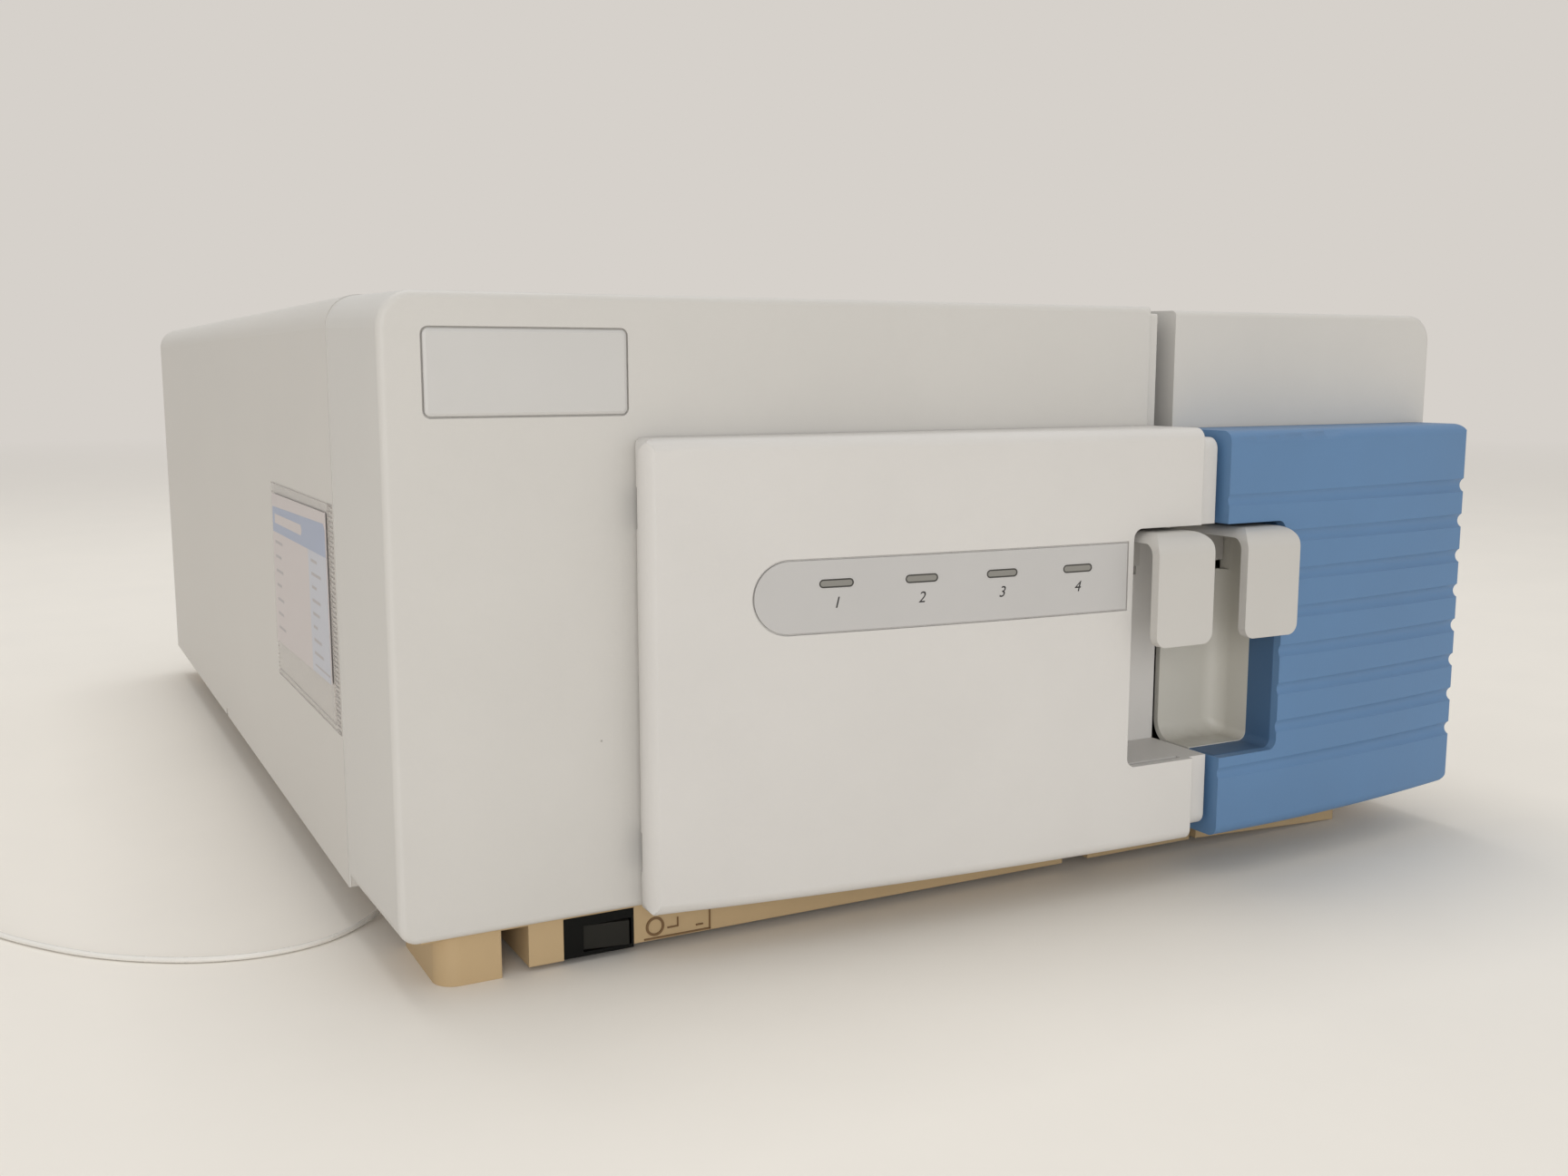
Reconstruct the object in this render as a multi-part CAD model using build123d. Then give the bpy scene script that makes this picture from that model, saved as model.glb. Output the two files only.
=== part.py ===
"""A bench-top liquid chromatography detector module: a drafted two-piece bezel and a wrap cover on a
moulded base, two bowed doors over the flow cell and lamp compartment, and the optics, power supply,
board, fan and rear panel behind it. Millimetres, +Z up, origin under the middle of the footprint."""

from build123d import *
import math
import os

# Working axes while modelling: X from the cover's left side, Y from the bezel's front face towards
# the rear, Z up from the bench. Each piece is moved to the part's own origin when it is written.

# ------------------------------------------------------------------ case
case_width = 365.5  # cover, side to side
case_depth = 480.0  # bezel face to the cover's rear edge
case_height = 178.5  # bench to the top of the cover
case_bottom = 14.0  # bench to the lower edge of cover, bezel and doors
cover_wall = 3.0
cover_corner_r = 9.0
cover_notch_y = 296.0
cover_notch_width = 4.0
cover_notch_height = 2.7
above = 300.0  # higher than every piece
seam_y = 53.0  # the cover's front edge
seam_gap = 0.15

# ------------------------------------------------------------------ bezel
bezel_wall = 3.0
bezel_rear_inset = 0.3  # bezel side to cover side, at the seam
bezel_front_inset = 1.6  # the same, at the front face
bezel_top_draft = 0.9
bezel_foot_r = 5.0
bezel_edge_r = 1.8
bezel_heel_r = 3.0
seam_x = 247.45  # the upright plane between the two doors
lip_width = 4.5
lip_step = 2.0
bezel_left_end = 4.45  # seam plane to the end of the left bezel's lip
bezel_right_start = 1.25  # seam plane to the right bezel
right_top_drop = 1.2
bezel_left_drop = 0.2
right_return_wall = 2.5
right_return_depth = 14.0
opening_left = 84.0
opening_right = 24.0  # right side of the opening to the cover's right side
opening_bottom = 28.0
opening_top = 132.0

badge_left = 12.4
badge_width = 52.6
badge_top_drop = 10.1  # top of the case to the top of the badge
badge_height = 21.3
badge_corner_r = 1.5
badge_groove = 0.5
badge_depth = 1.0

# ------------------------------------------------------------------ doors
door_gap = 1.9  # between the two doors
door_back_gap = 0.5  # bezel face to the doors' backs
door_wall = 2.5
door_edge_r = 3.5
hinge_barrel_r = 5.5
slab_depth = 60.0  # depth of the bowed slabs the doors are cut from
slab_margin = 8.0  # and how far they reach past the doors
ahead = -60.0  # in front of every piece
white_left = 65.1
white_top = 141.0
white_face_y = -24.6  # furthest forward, at the seam plane
white_side_y = -10.4  # the bowed face where it meets the hinge side
white_lip_width = 7.0
white_lip_step = 2.0
white_lip_top_step = 3.0
white_lip_bottom_step = 3.5
blue_right_inset = 1.6  # door side to cover side
blue_top = 140.0
blue_face_y = -26.5
blue_side_y = -18.2
blue_corner_r = 5.5
outline_ease = 0.02  # keeps that rounded outline just clear of the flat side
blue_foot_rise = 2.3  # the lower edge climbs by this much towards the right
blue_rise_start = 23.0  # seam plane to where it starts to climb
blue_side_edge_r = 2.5
flute_count = 8
flute_pitch = 12.1
flute_top_z = 119.2
flute_r = 2.8
flute_depth = 1.2  # at the door's side
flute_seam_depth = 0.55  # at its free edge

# ------------------------------------------------------------------ handle notch, cup and hooks
notch_left = 33.4  # seam plane to the notch's left wall
notch_right = 25.1  # seam plane to the notch's right wall
notch_bottom = 40.0
notch_top = 112.0
notch_corner_r = 3.0
scoop_back_y = 2.0
scoop_wall = 2.5
scoop_front_y = -21.0  # front of the walls that carry the scoop and the cup
cup_front_y = -13.0
cup_wall = 2.0
cup_back_r = 8.0
cup_clearance = 0.2
cup_floor_drop = 0.6  # notch floor of the right door below the left one's
cup_back_step = 0.5  # scoop's back to the cup's back
hook_width = 21.4
hook_thickness = 3.0
hook_front_y = -33.0
hook_bottom = 77.5
hook_top_clearance = 1.2
hook_bend_r = 6.5
hook_corner_r = 4.5
hook_foot_corner_r = 3.5
hook_root_bottom = 97.0
hook_slot_depth = 1.2
hook_slot_side_gap = 0.25
hook_slot_tail = 3.0
left_hook_inset = 2.0  # notch's left wall to the left hook
right_hook_inset = 0.6  # notch's right wall to the right hook

# ------------------------------------------------------------------ status strip
strip_left = 94.2
strip_right = 211.7
strip_bottom = 88.5
strip_height = 19.5
strip_thickness = 0.8
strip_groove = 0.5
light_width = 10.6
light_height = 2.3
light_first_x = 117.5
light_pitch = 25.5
light_count = 4
light_z = 101.6
light_length = 14.0
light_clearance = 0.1
status_board_thickness = 1.6
status_board_height = 15.0
status_board_margin = 9.0
post_r = 2.5

# ------------------------------------------------------------------ hinges and catches
hinge_bottom_z = 26.0
hinge_top_z = 118.0
hinge_height = 10.0
hinge_boss_r = 2.5
hinge_arm_half = 1.7
hinge_window_rise = 0.5  # pivot to the near edge of the cut that clears the arm
hinge_foot_length = 8.0
hinge_foot_thickness = 1.6
hinge_foot_offset = 4.4  # pivot to the near end of the bracket's foot
hinge_rib = 3.6
hinge_end_gap = 0.4
pin_r = 1.25
pin_running_gap = 0.05
catch_length = 12.0
catch_height = 5.0
catch_depth = 2.0
catch_z = 134.0
catch_from_seam = 14.0
strike_thickness = 1.0
strike_overhang = 0.5
seat_margin = 0.1
catch_air_gap = 0.3

# ------------------------------------------------------------------ base
tray_inset = 7.5
tray_floor_z = 13.0
tray_thickness = 3.5
tray_front_gap = 0.2
tray_rear_gap = 7.0
skirt_thickness = 4.0
skirt_bottom = 2.6
foot_inset = 11.6
foot_width = 17.0
foot_depth = 34.0
foot_corner_r = 6.0
block_left = 36.0
block_width = 9.7
block_bottom = 1.5
block_depth = 26.0
skirt_gap_one = 212.3
skirt_gap_one_width = 10.2
skirt_gap_two = 265.4
skirt_gap_two_width = 2.8
skirt_toe = 0.1  # lower edge of the skirt at its right end
skirt_end = 33.2  # right end of the front skirt to the cover's right side
under_rib_thickness = 3.0
under_rib_height = 6.0

# ------------------------------------------------------------------ power switch
switch_width = 19.9
switch_height = 11.1
switch_depth = 21.0
switch_side_gap = 0.15
switch_side_wall = 0.6  # right of the rocker
switch_head_wall = 2.6
switch_foot_wall = 1.1
switch_cavity_depth = 11.0
rocker_half = 6.4
rocker_swing_gap = 0.55
rocker_pivot_depth = 2.6
rocker_tilt = 9.0
rocker_side_gap = 0.3
rocker_shoulder_y = 3.0  # pivot to where the rocker starts to taper
rocker_tail_y = 6.0
rocker_tail_half = 2.6
rocker_taper = 0.8
trunnion_r = 1.2
trunnion_cap = 0.2  # wall left over the pivot's hole at each end

# ------------------------------------------------------------------ chassis and compartment
sheet = 1.5
panel_side_gap = 1.0
panel_top_gap = 3.5
bulkhead_top_gap = 1.0
panel_flange = 12.0
pan_wall_height = 42.0
pan_gap = 0.6
light_hole_r = 8.0
standoff_r = 3.2
standoff_height = 8.0
drip_left = 87.0
drip_right = 26.5
drip_front_gap = 0.5
drip_height = 10.5
drip_wall = 2.0
drip_rear_gap = 1.0

cell_mount_left = 118.0
cell_mount_width = 78.0
cell_mount_bottom = 44.0
cell_mount_height = 70.0
cell_mount_depth = 12.0
cell_width = 46.0
cell_height = 38.0
cell_depth = 20.0
cell_mount_lip = 6.0
fitting_r = 4.5
fitting_length = 15.0
fitting_flats_r = 5.0
screw_head_r = 5.5
screw_head_length = 9.0
screw_shank_r = 2.0

lamp_left = 284.0
lamp_width = 52.0
lamp_bottom = 34.0
lamp_height = 90.0
lamp_depth = 30.0
lamp_wall = 2.5
lamp_cover_thickness = 3.0
lamp_fin_count = 6
lamp_fin_height = 4.0
lamp_fin_thickness = 1.6
louvre_count = 6
louvre_width = 30.0
louvre_height = 3.0
louvre_pitch = 7.0
bulb_r = 11.0
bulb_length = 34.0
bulb_collar_r = 14.0
bulb_collar_thickness = 2.0
halogen_r = 4.5
halogen_length = 14.0

# ------------------------------------------------------------------ optics, board and supply
bench_left = 40.0
bench_width = 300.0
bench_front = 70.0
bench_board_gap = 17.0
bench_height = 70.0
bench_wall = 6.0
bench_floor = 8.0
bench_leg_r = 9.0
bench_leg_height = 8.0
optic_base = 5.0
optic_axis_height = 34.0
dish_depth = 1.5
grating_r = 24.0
grating_thickness = 9.0
mirror_r = 17.0
mirror_thickness = 8.0
slit_plate_size = 30.0
slit_plate_thickness = 4.0
array_width = 42.0
array_height = 30.0

board_left = 28.0
board_width = 200.0
board_depth = 140.0
board_rear_gap = 21.5  # board to the rear panel
board_thickness = 1.6
supply_left = 246.0
supply_width = 100.0
supply_depth = 125.0
supply_height = 44.0
supply_inlet_gap = 12.0
supply_wall = 2.0

# ------------------------------------------------------------------ rear panel, fan and connectors
rear_recess = 5.0  # cover's rear edge to the panel's outer face
fan_x = 188.0
fan_z = 106.0
fan_size = 80.0
fan_thickness = 25.0
fan_bore_r = 38.0
fan_hub_r = 16.5
fan_tip_gap = 1.2
fan_motor_thickness = 4.0
fan_strut = 4.0
fan_blade_count = 7
fan_blade_pitch = 38.0
fan_blade_thickness = 1.6
fan_shaft_r = 2.0
grille_ring_count = 4
grille_slot = 4.6
grille_bar = 3.2
grille_spoke = 5.0
inlet_x = 312.0
inlet_z = 66.0
inlet_width = 27.6
inlet_height = 47.0
inlet_depth = 26.0
inlet_flange = 2.5
inlet_flange_thickness = 3.0
inlet_socket_width = 24.0
inlet_socket_height = 15.5
inlet_socket_depth = 17.0
inlet_blade_length = 12.0
drawer_width = 22.0
drawer_height = 10.0
drawer_depth = 20.0
drawer_gap = 0.3
drawer_wall = 2.0
drawer_front = 3.0
network_x = 96.0
network_z = 64.0
network_width = 16.0
network_height = 13.6
network_depth = 21.0
connector_x = 52.0
connector_width = 34.0
connector_height = 9.0
connector_depth = 14.0
connector_count = 2
connector_pitch = 22.0
connector_pins = 8
connector_rim = 1.5  # rim that stops the row behind the panel
vent_count = 11
vent_width = 3.4
vent_height = 34.0
vent_pitch = 9.0
vent_left = 34.0
vent_bottom = 116.0

# ------------------------------------------------------------------ drain line
tube_diameter = 1.6
drain_nut_r = 3.4
drain_nut_length = 12.0
drain_nut_z = 4.3
drain_spigot_r = 3.0
drain_exit = (26.5, 85.5)
drain_heading = 231.7  # degrees from +X, in plan
coil_mean_r = 9.0
coil_columns = 3
coil_layers = 3
coil_centre = (-106.5, 115.0)
drain_route = [
    (19.6, 76.8, 3.6),
    (11.8, 66.9, 1.4),
    (4.4, 58.2, 0.82),
    (-8.0, 49.0, 0.82),
    (-24.0, 46.6, 0.82),
    (-40.0, 50.6, 0.82),
    (-54.5, 59.0, 0.82),
    (-67.5, 69.8, 0.82),
    (-79.0, 83.6, 0.82),
    (-89.0, 98.0, 0.82),
    (-96.0, 112.0, 0.82),
]

# ------------------------------------------------------------------ document pouch
pouch_film = 0.4
pouch_slit = 0.5
pouch_front = 53.4
pouch_back_top = 153.5
pouch_back_bottom = 163.5
pouch_bottom = 54.0
pouch_top = 122.0
pouch_weld = 7.0
card_thickness = 0.3
card_bottom_gap = 12.0
card_front_gap = 1.0
card_length = 92.0
card_top_gap = 3.0

# ------------------------------------------------------------------ worked out from the sizes above
white_right = seam_x - door_gap / 2
blue_left = seam_x + door_gap / 2
blue_right = case_width - blue_right_inset
white_bow_depth = white_side_y - white_face_y
white_bow_r = ((seam_x - white_left) ** 2 + white_bow_depth**2) / (2 * white_bow_depth)
blue_bow_depth = blue_side_y - blue_face_y
blue_bow_r = ((blue_right - seam_x) ** 2 + blue_bow_depth**2) / (2 * blue_bow_depth)
badge_bottom = case_height - badge_top_drop - badge_height
pivot_y = -(door_back_gap + hinge_barrel_r)
white_pivot_x = white_left + hinge_barrel_r
blue_pivot_x = blue_right - hinge_barrel_r
notch_left_x = seam_x - notch_left
notch_right_x = seam_x + notch_right
opening_right_x = case_width - opening_right
hook_top = notch_top - hook_top_clearance
tray_front = bezel_wall + tray_front_gap
tray_top = tray_floor_z + tray_thickness
tray_back = case_depth - tray_rear_gap
switch_left = block_left + block_width + switch_side_gap
switch_right = switch_left + switch_width
rocker_x = switch_right - switch_side_wall - rocker_swing_gap - rocker_half
switch_top = tray_floor_z - switch_side_gap
switch_bottom = switch_top - switch_height
bulkhead_back = seam_y - seam_gap
bulkhead_front = bulkhead_back - sheet
panel_left = cover_wall + panel_side_gap
panel_right = case_width - cover_wall - panel_side_gap
panel_top = case_height - panel_top_gap
bulkhead_top = case_height - right_top_drop - bezel_wall - bezel_top_draft - bulkhead_top_gap
rear_face = case_depth - rear_recess
rear_inner = rear_face - sheet
board_front = rear_inner - board_rear_gap - board_depth
supply_front = rear_face - inlet_depth - supply_inlet_gap - supply_depth
bench_depth = board_front - bench_board_gap - bench_front
pan_front = bulkhead_back + panel_flange + pan_gap
pan_top = tray_top + sheet
tube_r = tube_diameter / 2
pouch_depth = 2 * pouch_film + pouch_slit
origin_x = (case_width - pouch_depth) / 2
origin_y = (case_depth + hook_front_y) / 2


# ------------------------------------------------------------------ helpers
def block(x0, x1, y0, y1, z0, z1):
    """A box between two corners."""
    middle = Pos((x0 + x1) / 2, (y0 + y1) / 2, (z0 + z1) / 2)
    return middle * Box(x1 - x0, y1 - y0, z1 - z0)


def rect(a0, a1, b0, b1, corner_r=0.0):
    """A flat rectangle between two corners, its corners rounded if a radius is given."""
    centre = Pos((a0 + a1) / 2, (b0 + b1) / 2)
    if corner_r > 0:
        return centre * RectangleRounded(a1 - a0, b1 - b0, corner_r)
    return centre * Rectangle(a1 - a0, b1 - b0)


def elevation(shape, y0, y1):
    """A shape drawn in X and Z, from y0 back to y1."""
    return extrude(Plane.XZ.offset(-y1) * shape, y1 - y0)


def plan(shape, z0, z1):
    """A shape drawn in X and Y, from z0 up to z1."""
    return extrude(Pos(0, 0, z0) * shape, z1 - z0)


def side(shape, x0, x1):
    """A shape drawn in Y and Z, from x0 to x1."""
    return extrude(Plane.YZ.offset(x0) * shape, x1 - x0)


def rod(x, y, z, radius, length, along):
    """A round rod centred on a point, along an axis named by its letter."""
    turn = {"x": Rot(0, 90, 0), "y": Rot(90, 0, 0), "z": Rot(0, 0, 0)}[along]
    return Pos(x, y, z) * turn * Cylinder(radius, length)


def tombstone(x0, x1, z0, z1, top_r, foot_r=0.0):
    """An upright rectangle with its top corners rounded, and its foot corners too if asked."""
    shape = fillet(rect(x0, x1, z0, z1).vertices().group_by(Axis.Y)[-1], top_r)
    if foot_r > 0:
        shape = fillet(shape.vertices().group_by(Axis.Y)[0], foot_r)
    return shape


def bow_y(x, face_y, radius):
    """Y of a bowed door's front face at x."""
    return face_y + radius - math.sqrt(radius**2 - (x - seam_x) ** 2)


def bowed(face_y, radius, z0, z1, edge_r, way):
    """A slab with a bowed front, turned about an upright axis in the plane between the doors.
    way is -1 for the left door and 1 for the right one."""
    back_y = face_y + slab_depth
    low, high = z0 + edge_r, z1 - edge_r
    bend = edge_r * (1 - math.sqrt(0.5))
    line = [
        Line((back_y, z0), (face_y + edge_r, z0)),
        ThreePointArc((face_y + edge_r, z0), (face_y + bend, z0 + bend), (face_y, low)),
        Line((face_y, low), (face_y, high)),
        ThreePointArc((face_y, high), (face_y + bend, z1 - bend), (face_y + edge_r, z1)),
        Line((face_y + edge_r, z1), (back_y, z1)),
        Line((back_y, z1), (back_y, z0)),
    ]
    face = Plane.YZ.offset(seam_x) * make_face(line)
    reach = max(seam_x - white_left, blue_right - seam_x) + slab_margin
    sweep_angle = math.degrees(math.asin(reach / (radius - slab_depth)))
    axis = Axis((seam_x, face_y + radius, 0), (0, 0, way))
    return revolve(face, axis, revolution_arc=sweep_angle)


# ------------------------------------------------------------------ case
def rear_cover():
    """The wrap cover: top and two sides in one, open below and at both ends."""
    outer = tombstone(0, case_width, case_bottom, case_height, cover_corner_r)
    inner = tombstone(
        cover_wall, case_width - cover_wall, 0, case_height - cover_wall, cover_corner_r - cover_wall
    )
    shell = elevation(outer, seam_y, case_depth) - elevation(inner, 0, case_depth + 1)
    notch_end = case_bottom + cover_notch_height
    half = cover_notch_width / 2
    return shell - block(
        -1, case_width + 1, cover_notch_y - half, cover_notch_y + half, case_bottom - 1, notch_end
    )


def bezel_form(inset, top, edge_r=0.0):
    """The bezel's drafted outer form, brought in all round by an inset, from seam to face."""
    rear_in, front_in = bezel_rear_inset + inset, bezel_front_inset + inset
    corner = cover_corner_r - inset
    foot = bezel_foot_r if inset == 0 else 0.0
    bottom = case_bottom if inset == 0 else 0
    rear_y = seam_y - seam_gap
    rear = tombstone(rear_in, case_width - rear_in, bottom, top - inset, corner, foot)
    front_top = top - bezel_top_draft - inset
    front = tombstone(front_in, case_width - front_in, bottom, front_top, corner, foot)
    sections = [Plane.XZ.offset(-rear_y) * rear, Plane.XZ.offset(-inset) * front]
    form = loft(sections, ruled=True)
    if edge_r > 0:
        form = fillet(form.faces().sort_by(Axis.Y)[0].edges(), edge_r)
    return form


def bezel_shell(top, inset=0.0):
    """The bezel as an open-backed shell with the compartment's opening through its face."""
    outer = bezel_form(inset, top, bezel_edge_r - inset / 2)
    inner = bezel_form(inset + bezel_wall, top)
    opening = block(opening_left, opening_right_x, -5, seam_y, opening_bottom, opening_top)
    heel = rect(-5, seam_y - seam_gap, case_bottom, above)
    heel = fillet(heel.vertices().sort_by_distance((seam_y, 0, 0))[0], bezel_heel_r)
    return (outer - inner - opening) & side(heel, -5, case_width + 5)


def badge_outline(margin):
    """The badge plate's outline, grown by a margin."""
    return rect(
        badge_left - margin,
        badge_left + badge_width + margin,
        badge_bottom - margin,
        badge_bottom + badge_height + margin,
        badge_corner_r + margin,
    )


def bezel_left():
    """The left bezel: left pillar, top and bottom rails. The top rail ends in a set-back lip."""
    end = seam_x - bezel_left_end
    top = case_height - bezel_left_drop
    shell = bezel_shell(top)
    body = shell & block(-1, end - lip_width, -5, seam_y, 0, above)
    body += shell & block(end - lip_width - bezel_wall, end, -5, seam_y, 0, opening_bottom)
    body += bezel_shell(top, lip_step) & block(
        end - lip_width - bezel_wall, end, -5, seam_y, opening_top, above
    )
    body -= elevation(badge_outline(badge_groove), -1, badge_depth)
    return body - catch_pocket(-1)


def bezel_right():
    """The right bezel: right pillar, top and bottom rails, with a return wall at the seam."""
    start = seam_x + bezel_right_start
    top = case_height - right_top_drop
    body = bezel_shell(top) & block(start, case_width + 1, -5, seam_y, 0, above)
    returned = bezel_form(0, top, bezel_edge_r) & block(
        start, start + right_return_wall, -5, right_return_depth, opening_top, above
    )
    return body + returned - catch_pocket(1)


def badge_plate():
    """The bare plate let into the bezel's upper left corner."""
    return elevation(badge_outline(0), 0, badge_depth)


# ------------------------------------------------------------------ doors
def door_plan(side_x, free_x, edge_r, edge_y, margin=0.0):
    """A door in plan, its back corner round about the hinge pin and its front corner rounded.
    A margin brings it in all round and lets it run out at the back, for the hollow inside."""
    way = 1 if free_x > side_x else -1
    pivot_x = side_x + way * hinge_barrel_r
    back_r = hinge_barrel_r - margin
    front_r = max(edge_r - margin, 0.5)
    back = -door_back_gap if margin == 0 else 5
    wall_x = side_x + way * margin
    end_x = free_x - way * margin
    bend = math.sqrt(0.5)
    corners = [(end_x, back), (pivot_x, back)]
    if margin > 0:
        corners.append((pivot_x, pivot_y + back_r))
    line = [Line(start, end) for start, end in zip(corners, corners[1:])]
    middle = (pivot_x - way * back_r * bend, pivot_y + back_r * bend)
    line.append(ThreePointArc(corners[-1], middle, (wall_x, pivot_y)))
    if abs(edge_y - pivot_y) > 0.001:
        line.append(Line((wall_x, pivot_y), (wall_x, edge_y)))
    middle = (wall_x + way * front_r * (1 - bend), edge_y - front_r * bend)
    front_end = (wall_x + way * front_r, edge_y - front_r)
    line.append(ThreePointArc((wall_x, edge_y), middle, front_end))
    corners = [front_end, (front_end[0], ahead), (end_x, ahead), (end_x, back)]
    line += [Line(start, end) for start, end in zip(corners, corners[1:])]
    return make_face(line)


def white_plan(margin=0.0):
    """The left door in plan: its hinge edge is a half round."""
    return door_plan(white_left, white_right, hinge_barrel_r, pivot_y, margin)


def blue_plan(margin=0.0):
    """The right door in plan: a flat side between two rounded corners."""
    edge_r = blue_side_edge_r
    edge_y = bow_y(blue_right - edge_r, blue_face_y, blue_bow_r) + edge_r
    return door_plan(blue_right, blue_left, edge_r, edge_y, margin)


def hinge_ribs(pivot_x, way, inner):
    """Ribs above and below each bracket that hold the door's pins, trimmed to the door's inside."""
    ribs = None
    for bottom in (hinge_bottom_z, hinge_top_z):
        for z0 in (bottom - hinge_end_gap - hinge_rib, bottom + hinge_height + hinge_end_gap):
            near, far = sorted((pivot_x - way * hinge_barrel_r, pivot_x + way * 10))
            rib = block(near, far, ahead, -door_back_gap, z0, z0 + hinge_rib) & inner
            rib -= rod(pivot_x, pivot_y, z0, pin_r + pin_running_gap / 2, 20, "z")
            ribs = rib if ribs is None else ribs + rib
    return ribs


def hinge_windows(pivot_x):
    """Cuts in the hinge edge's back that let each bracket's arm through as the door swings."""
    cuts = None
    reach = hinge_barrel_r + 1
    for bottom in (hinge_bottom_z, hinge_top_z):
        z0, z1 = bottom - hinge_end_gap, bottom + hinge_height + hinge_end_gap
        low_y = pivot_y + hinge_window_rise
        cut = block(pivot_x - reach, pivot_x + reach, low_y, 2, z0, z1)
        cuts = cut if cuts is None else cuts + cut
    return cuts


def white_door():
    """The left door: a bowed open-backed moulding with a set-back lip, a scoop behind the handle
    notch, a recess for the status strip and slots for its lights."""
    shell = bowed(white_face_y, white_bow_r, case_bottom, white_top, door_edge_r, -1)
    corners = rect(white_left, case_width, case_bottom, white_top, door_edge_r)
    shell &= elevation(corners, ahead, -ahead)
    shell &= block(0, white_right - white_lip_width, ahead, -ahead, 0, above)
    lip = bowed(
        white_face_y + white_lip_step,
        white_bow_r - white_lip_step,
        case_bottom + white_lip_bottom_step,
        white_top - white_lip_top_step,
        door_edge_r,
        -1,
    )
    lip &= block(white_right - white_lip_width - door_wall, white_right, ahead, -ahead, 0, above)
    shell = (shell + lip) & plan(white_plan(), 0, above)
    inside = bowed(
        white_face_y + door_wall,
        white_bow_r - door_wall,
        case_bottom + door_wall,
        white_top - door_wall,
        0.5,
        -1,
    ) & block(0, white_right - white_lip_width - door_wall, ahead, -ahead, 0, above)
    inside += bowed(
        white_face_y + white_lip_step + door_wall,
        white_bow_r - white_lip_step - door_wall,
        case_bottom + white_lip_bottom_step + door_wall,
        white_top - white_lip_top_step - door_wall,
        0.5,
        -1,
    )
    inside &= plan(white_plan(door_wall), 0, above)
    body = shell - inside
    body += hinge_ribs(white_pivot_x, 1, inside)
    scoop = block(
        notch_left_x - scoop_wall, white_right, scoop_front_y + 1, scoop_back_y + scoop_wall,
        notch_bottom - scoop_wall, notch_top + scoop_wall,
    )
    body += scoop
    body += catch_boss(-1) + status_posts()
    pocket = rect(notch_left_x, white_right + 20, notch_bottom, notch_top, notch_corner_r)
    body -= elevation(pocket, ahead, scoop_back_y)
    body -= hook_slot(left_hook_x(), scoop_back_y, 1)
    body -= strike_plate(-1, seat_margin)
    body -= strip_form(strip_groove)
    for index in range(light_count):
        body -= light_form(index, light_clearance)
    body -= hinge_windows(white_pivot_x)
    return body


def blue_outline():
    """The right door seen from the front, its lower edge climbing towards the right."""
    start = (seam_x + blue_rise_start, case_bottom)
    left, right = blue_left - slab_margin, blue_right + outline_ease
    foot, top = (right, case_bottom + blue_foot_rise), (right, blue_top)
    outline = make_face(Polyline((left, case_bottom), start, foot, top, (left, blue_top), close=True))
    return fillet(outline.vertices().group_by(Axis.X)[-1], blue_corner_r)


def flutes():
    """Round grooves over the right door's face, round its front corner and along its side. They
    are shallow at the free edge and deepen towards the side."""
    centre_y = blue_face_y + blue_bow_r
    points = []
    for share in (0, 0.5, 1):
        depth = flute_seam_depth + (flute_depth - flute_seam_depth) * share
        x = blue_left - 1 + (blue_right + flute_r - flute_depth - blue_left + 1) * share
        radius = blue_bow_r + flute_r - depth
        points.append((x, centre_y - math.sqrt(radius**2 - (x - seam_x) ** 2)))
    start, middle, end = points
    corner, behind = (end[0], pivot_y), (start[0], pivot_y)
    outline = make_face(
        [ThreePointArc(start, middle, end), Line(end, corner), Line(corner, behind), Line(behind, start)]
    )
    turn_r = blue_side_edge_r + flute_r - flute_depth
    outline = fillet(outline.vertices().sort_by_distance((*end, 0))[0], turn_r)
    off = Vector(*behind)
    path = Wire([
        edge
        for edge in outline.edges()
        if min((vertex.center() - off).length for vertex in edge.vertices()) > slab_margin / 100
    ])
    groove = sweep(Plane(path @ 0, z_dir=path % 0) * Circle(flute_r), path=path)
    return [Pos(0, 0, flute_top_z - index * flute_pitch) * groove for index in range(flute_count)]


def blue_door():
    """The right door: a bowed moulding with shallow flutes across it and a window for the cup."""
    shell = bowed(blue_face_y, blue_bow_r, case_bottom, blue_top, door_edge_r, 1)
    shell &= elevation(blue_outline(), ahead, -ahead)
    shell &= plan(blue_plan(), 0, above)
    for groove in flutes():
        shell -= groove
    depth = door_wall + flute_depth
    hollow = Pos(seam_x, blue_face_y + blue_bow_r) * Circle(blue_bow_r - depth)
    hollow = blue_plan(door_wall) & hollow
    inside = plan(hollow, case_bottom + blue_foot_rise + door_wall, blue_top - door_wall)
    body = shell - inside
    body += hinge_ribs(blue_pivot_x, -1, inside)
    wall = cup_wall + cup_clearance + scoop_wall
    body += block(
        blue_left, notch_right_x + wall, scoop_front_y, -door_back_gap,
        notch_bottom - wall, notch_top + wall,
    )
    body += catch_boss(1)
    left = blue_left - slab_margin
    pocket = rect(left, notch_right_x, notch_bottom - cup_floor_drop, notch_top, notch_corner_r)
    body -= elevation(pocket, ahead, -ahead)
    body -= elevation(cup_outline(cup_clearance), cup_front_y - cup_clearance, -ahead)
    body -= hinge_windows(blue_pivot_x)
    return body - strike_plate(1, seat_margin)


def cup_outline(margin):
    """The cup's outer outline, seen from the front, grown by a margin."""
    grow = cup_wall + margin
    low, high = notch_bottom - grow, notch_top + grow
    return rect(blue_left - slab_margin, notch_right_x + grow, low, high, notch_corner_r + 1)


def back_corner(shape):
    """The upright edge of a cup shape at its rear right corner."""
    return shape.edges().filter_by(Axis.Z).sort_by(Axis.X)[-2:].sort_by(Axis.Y)[-1]


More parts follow.
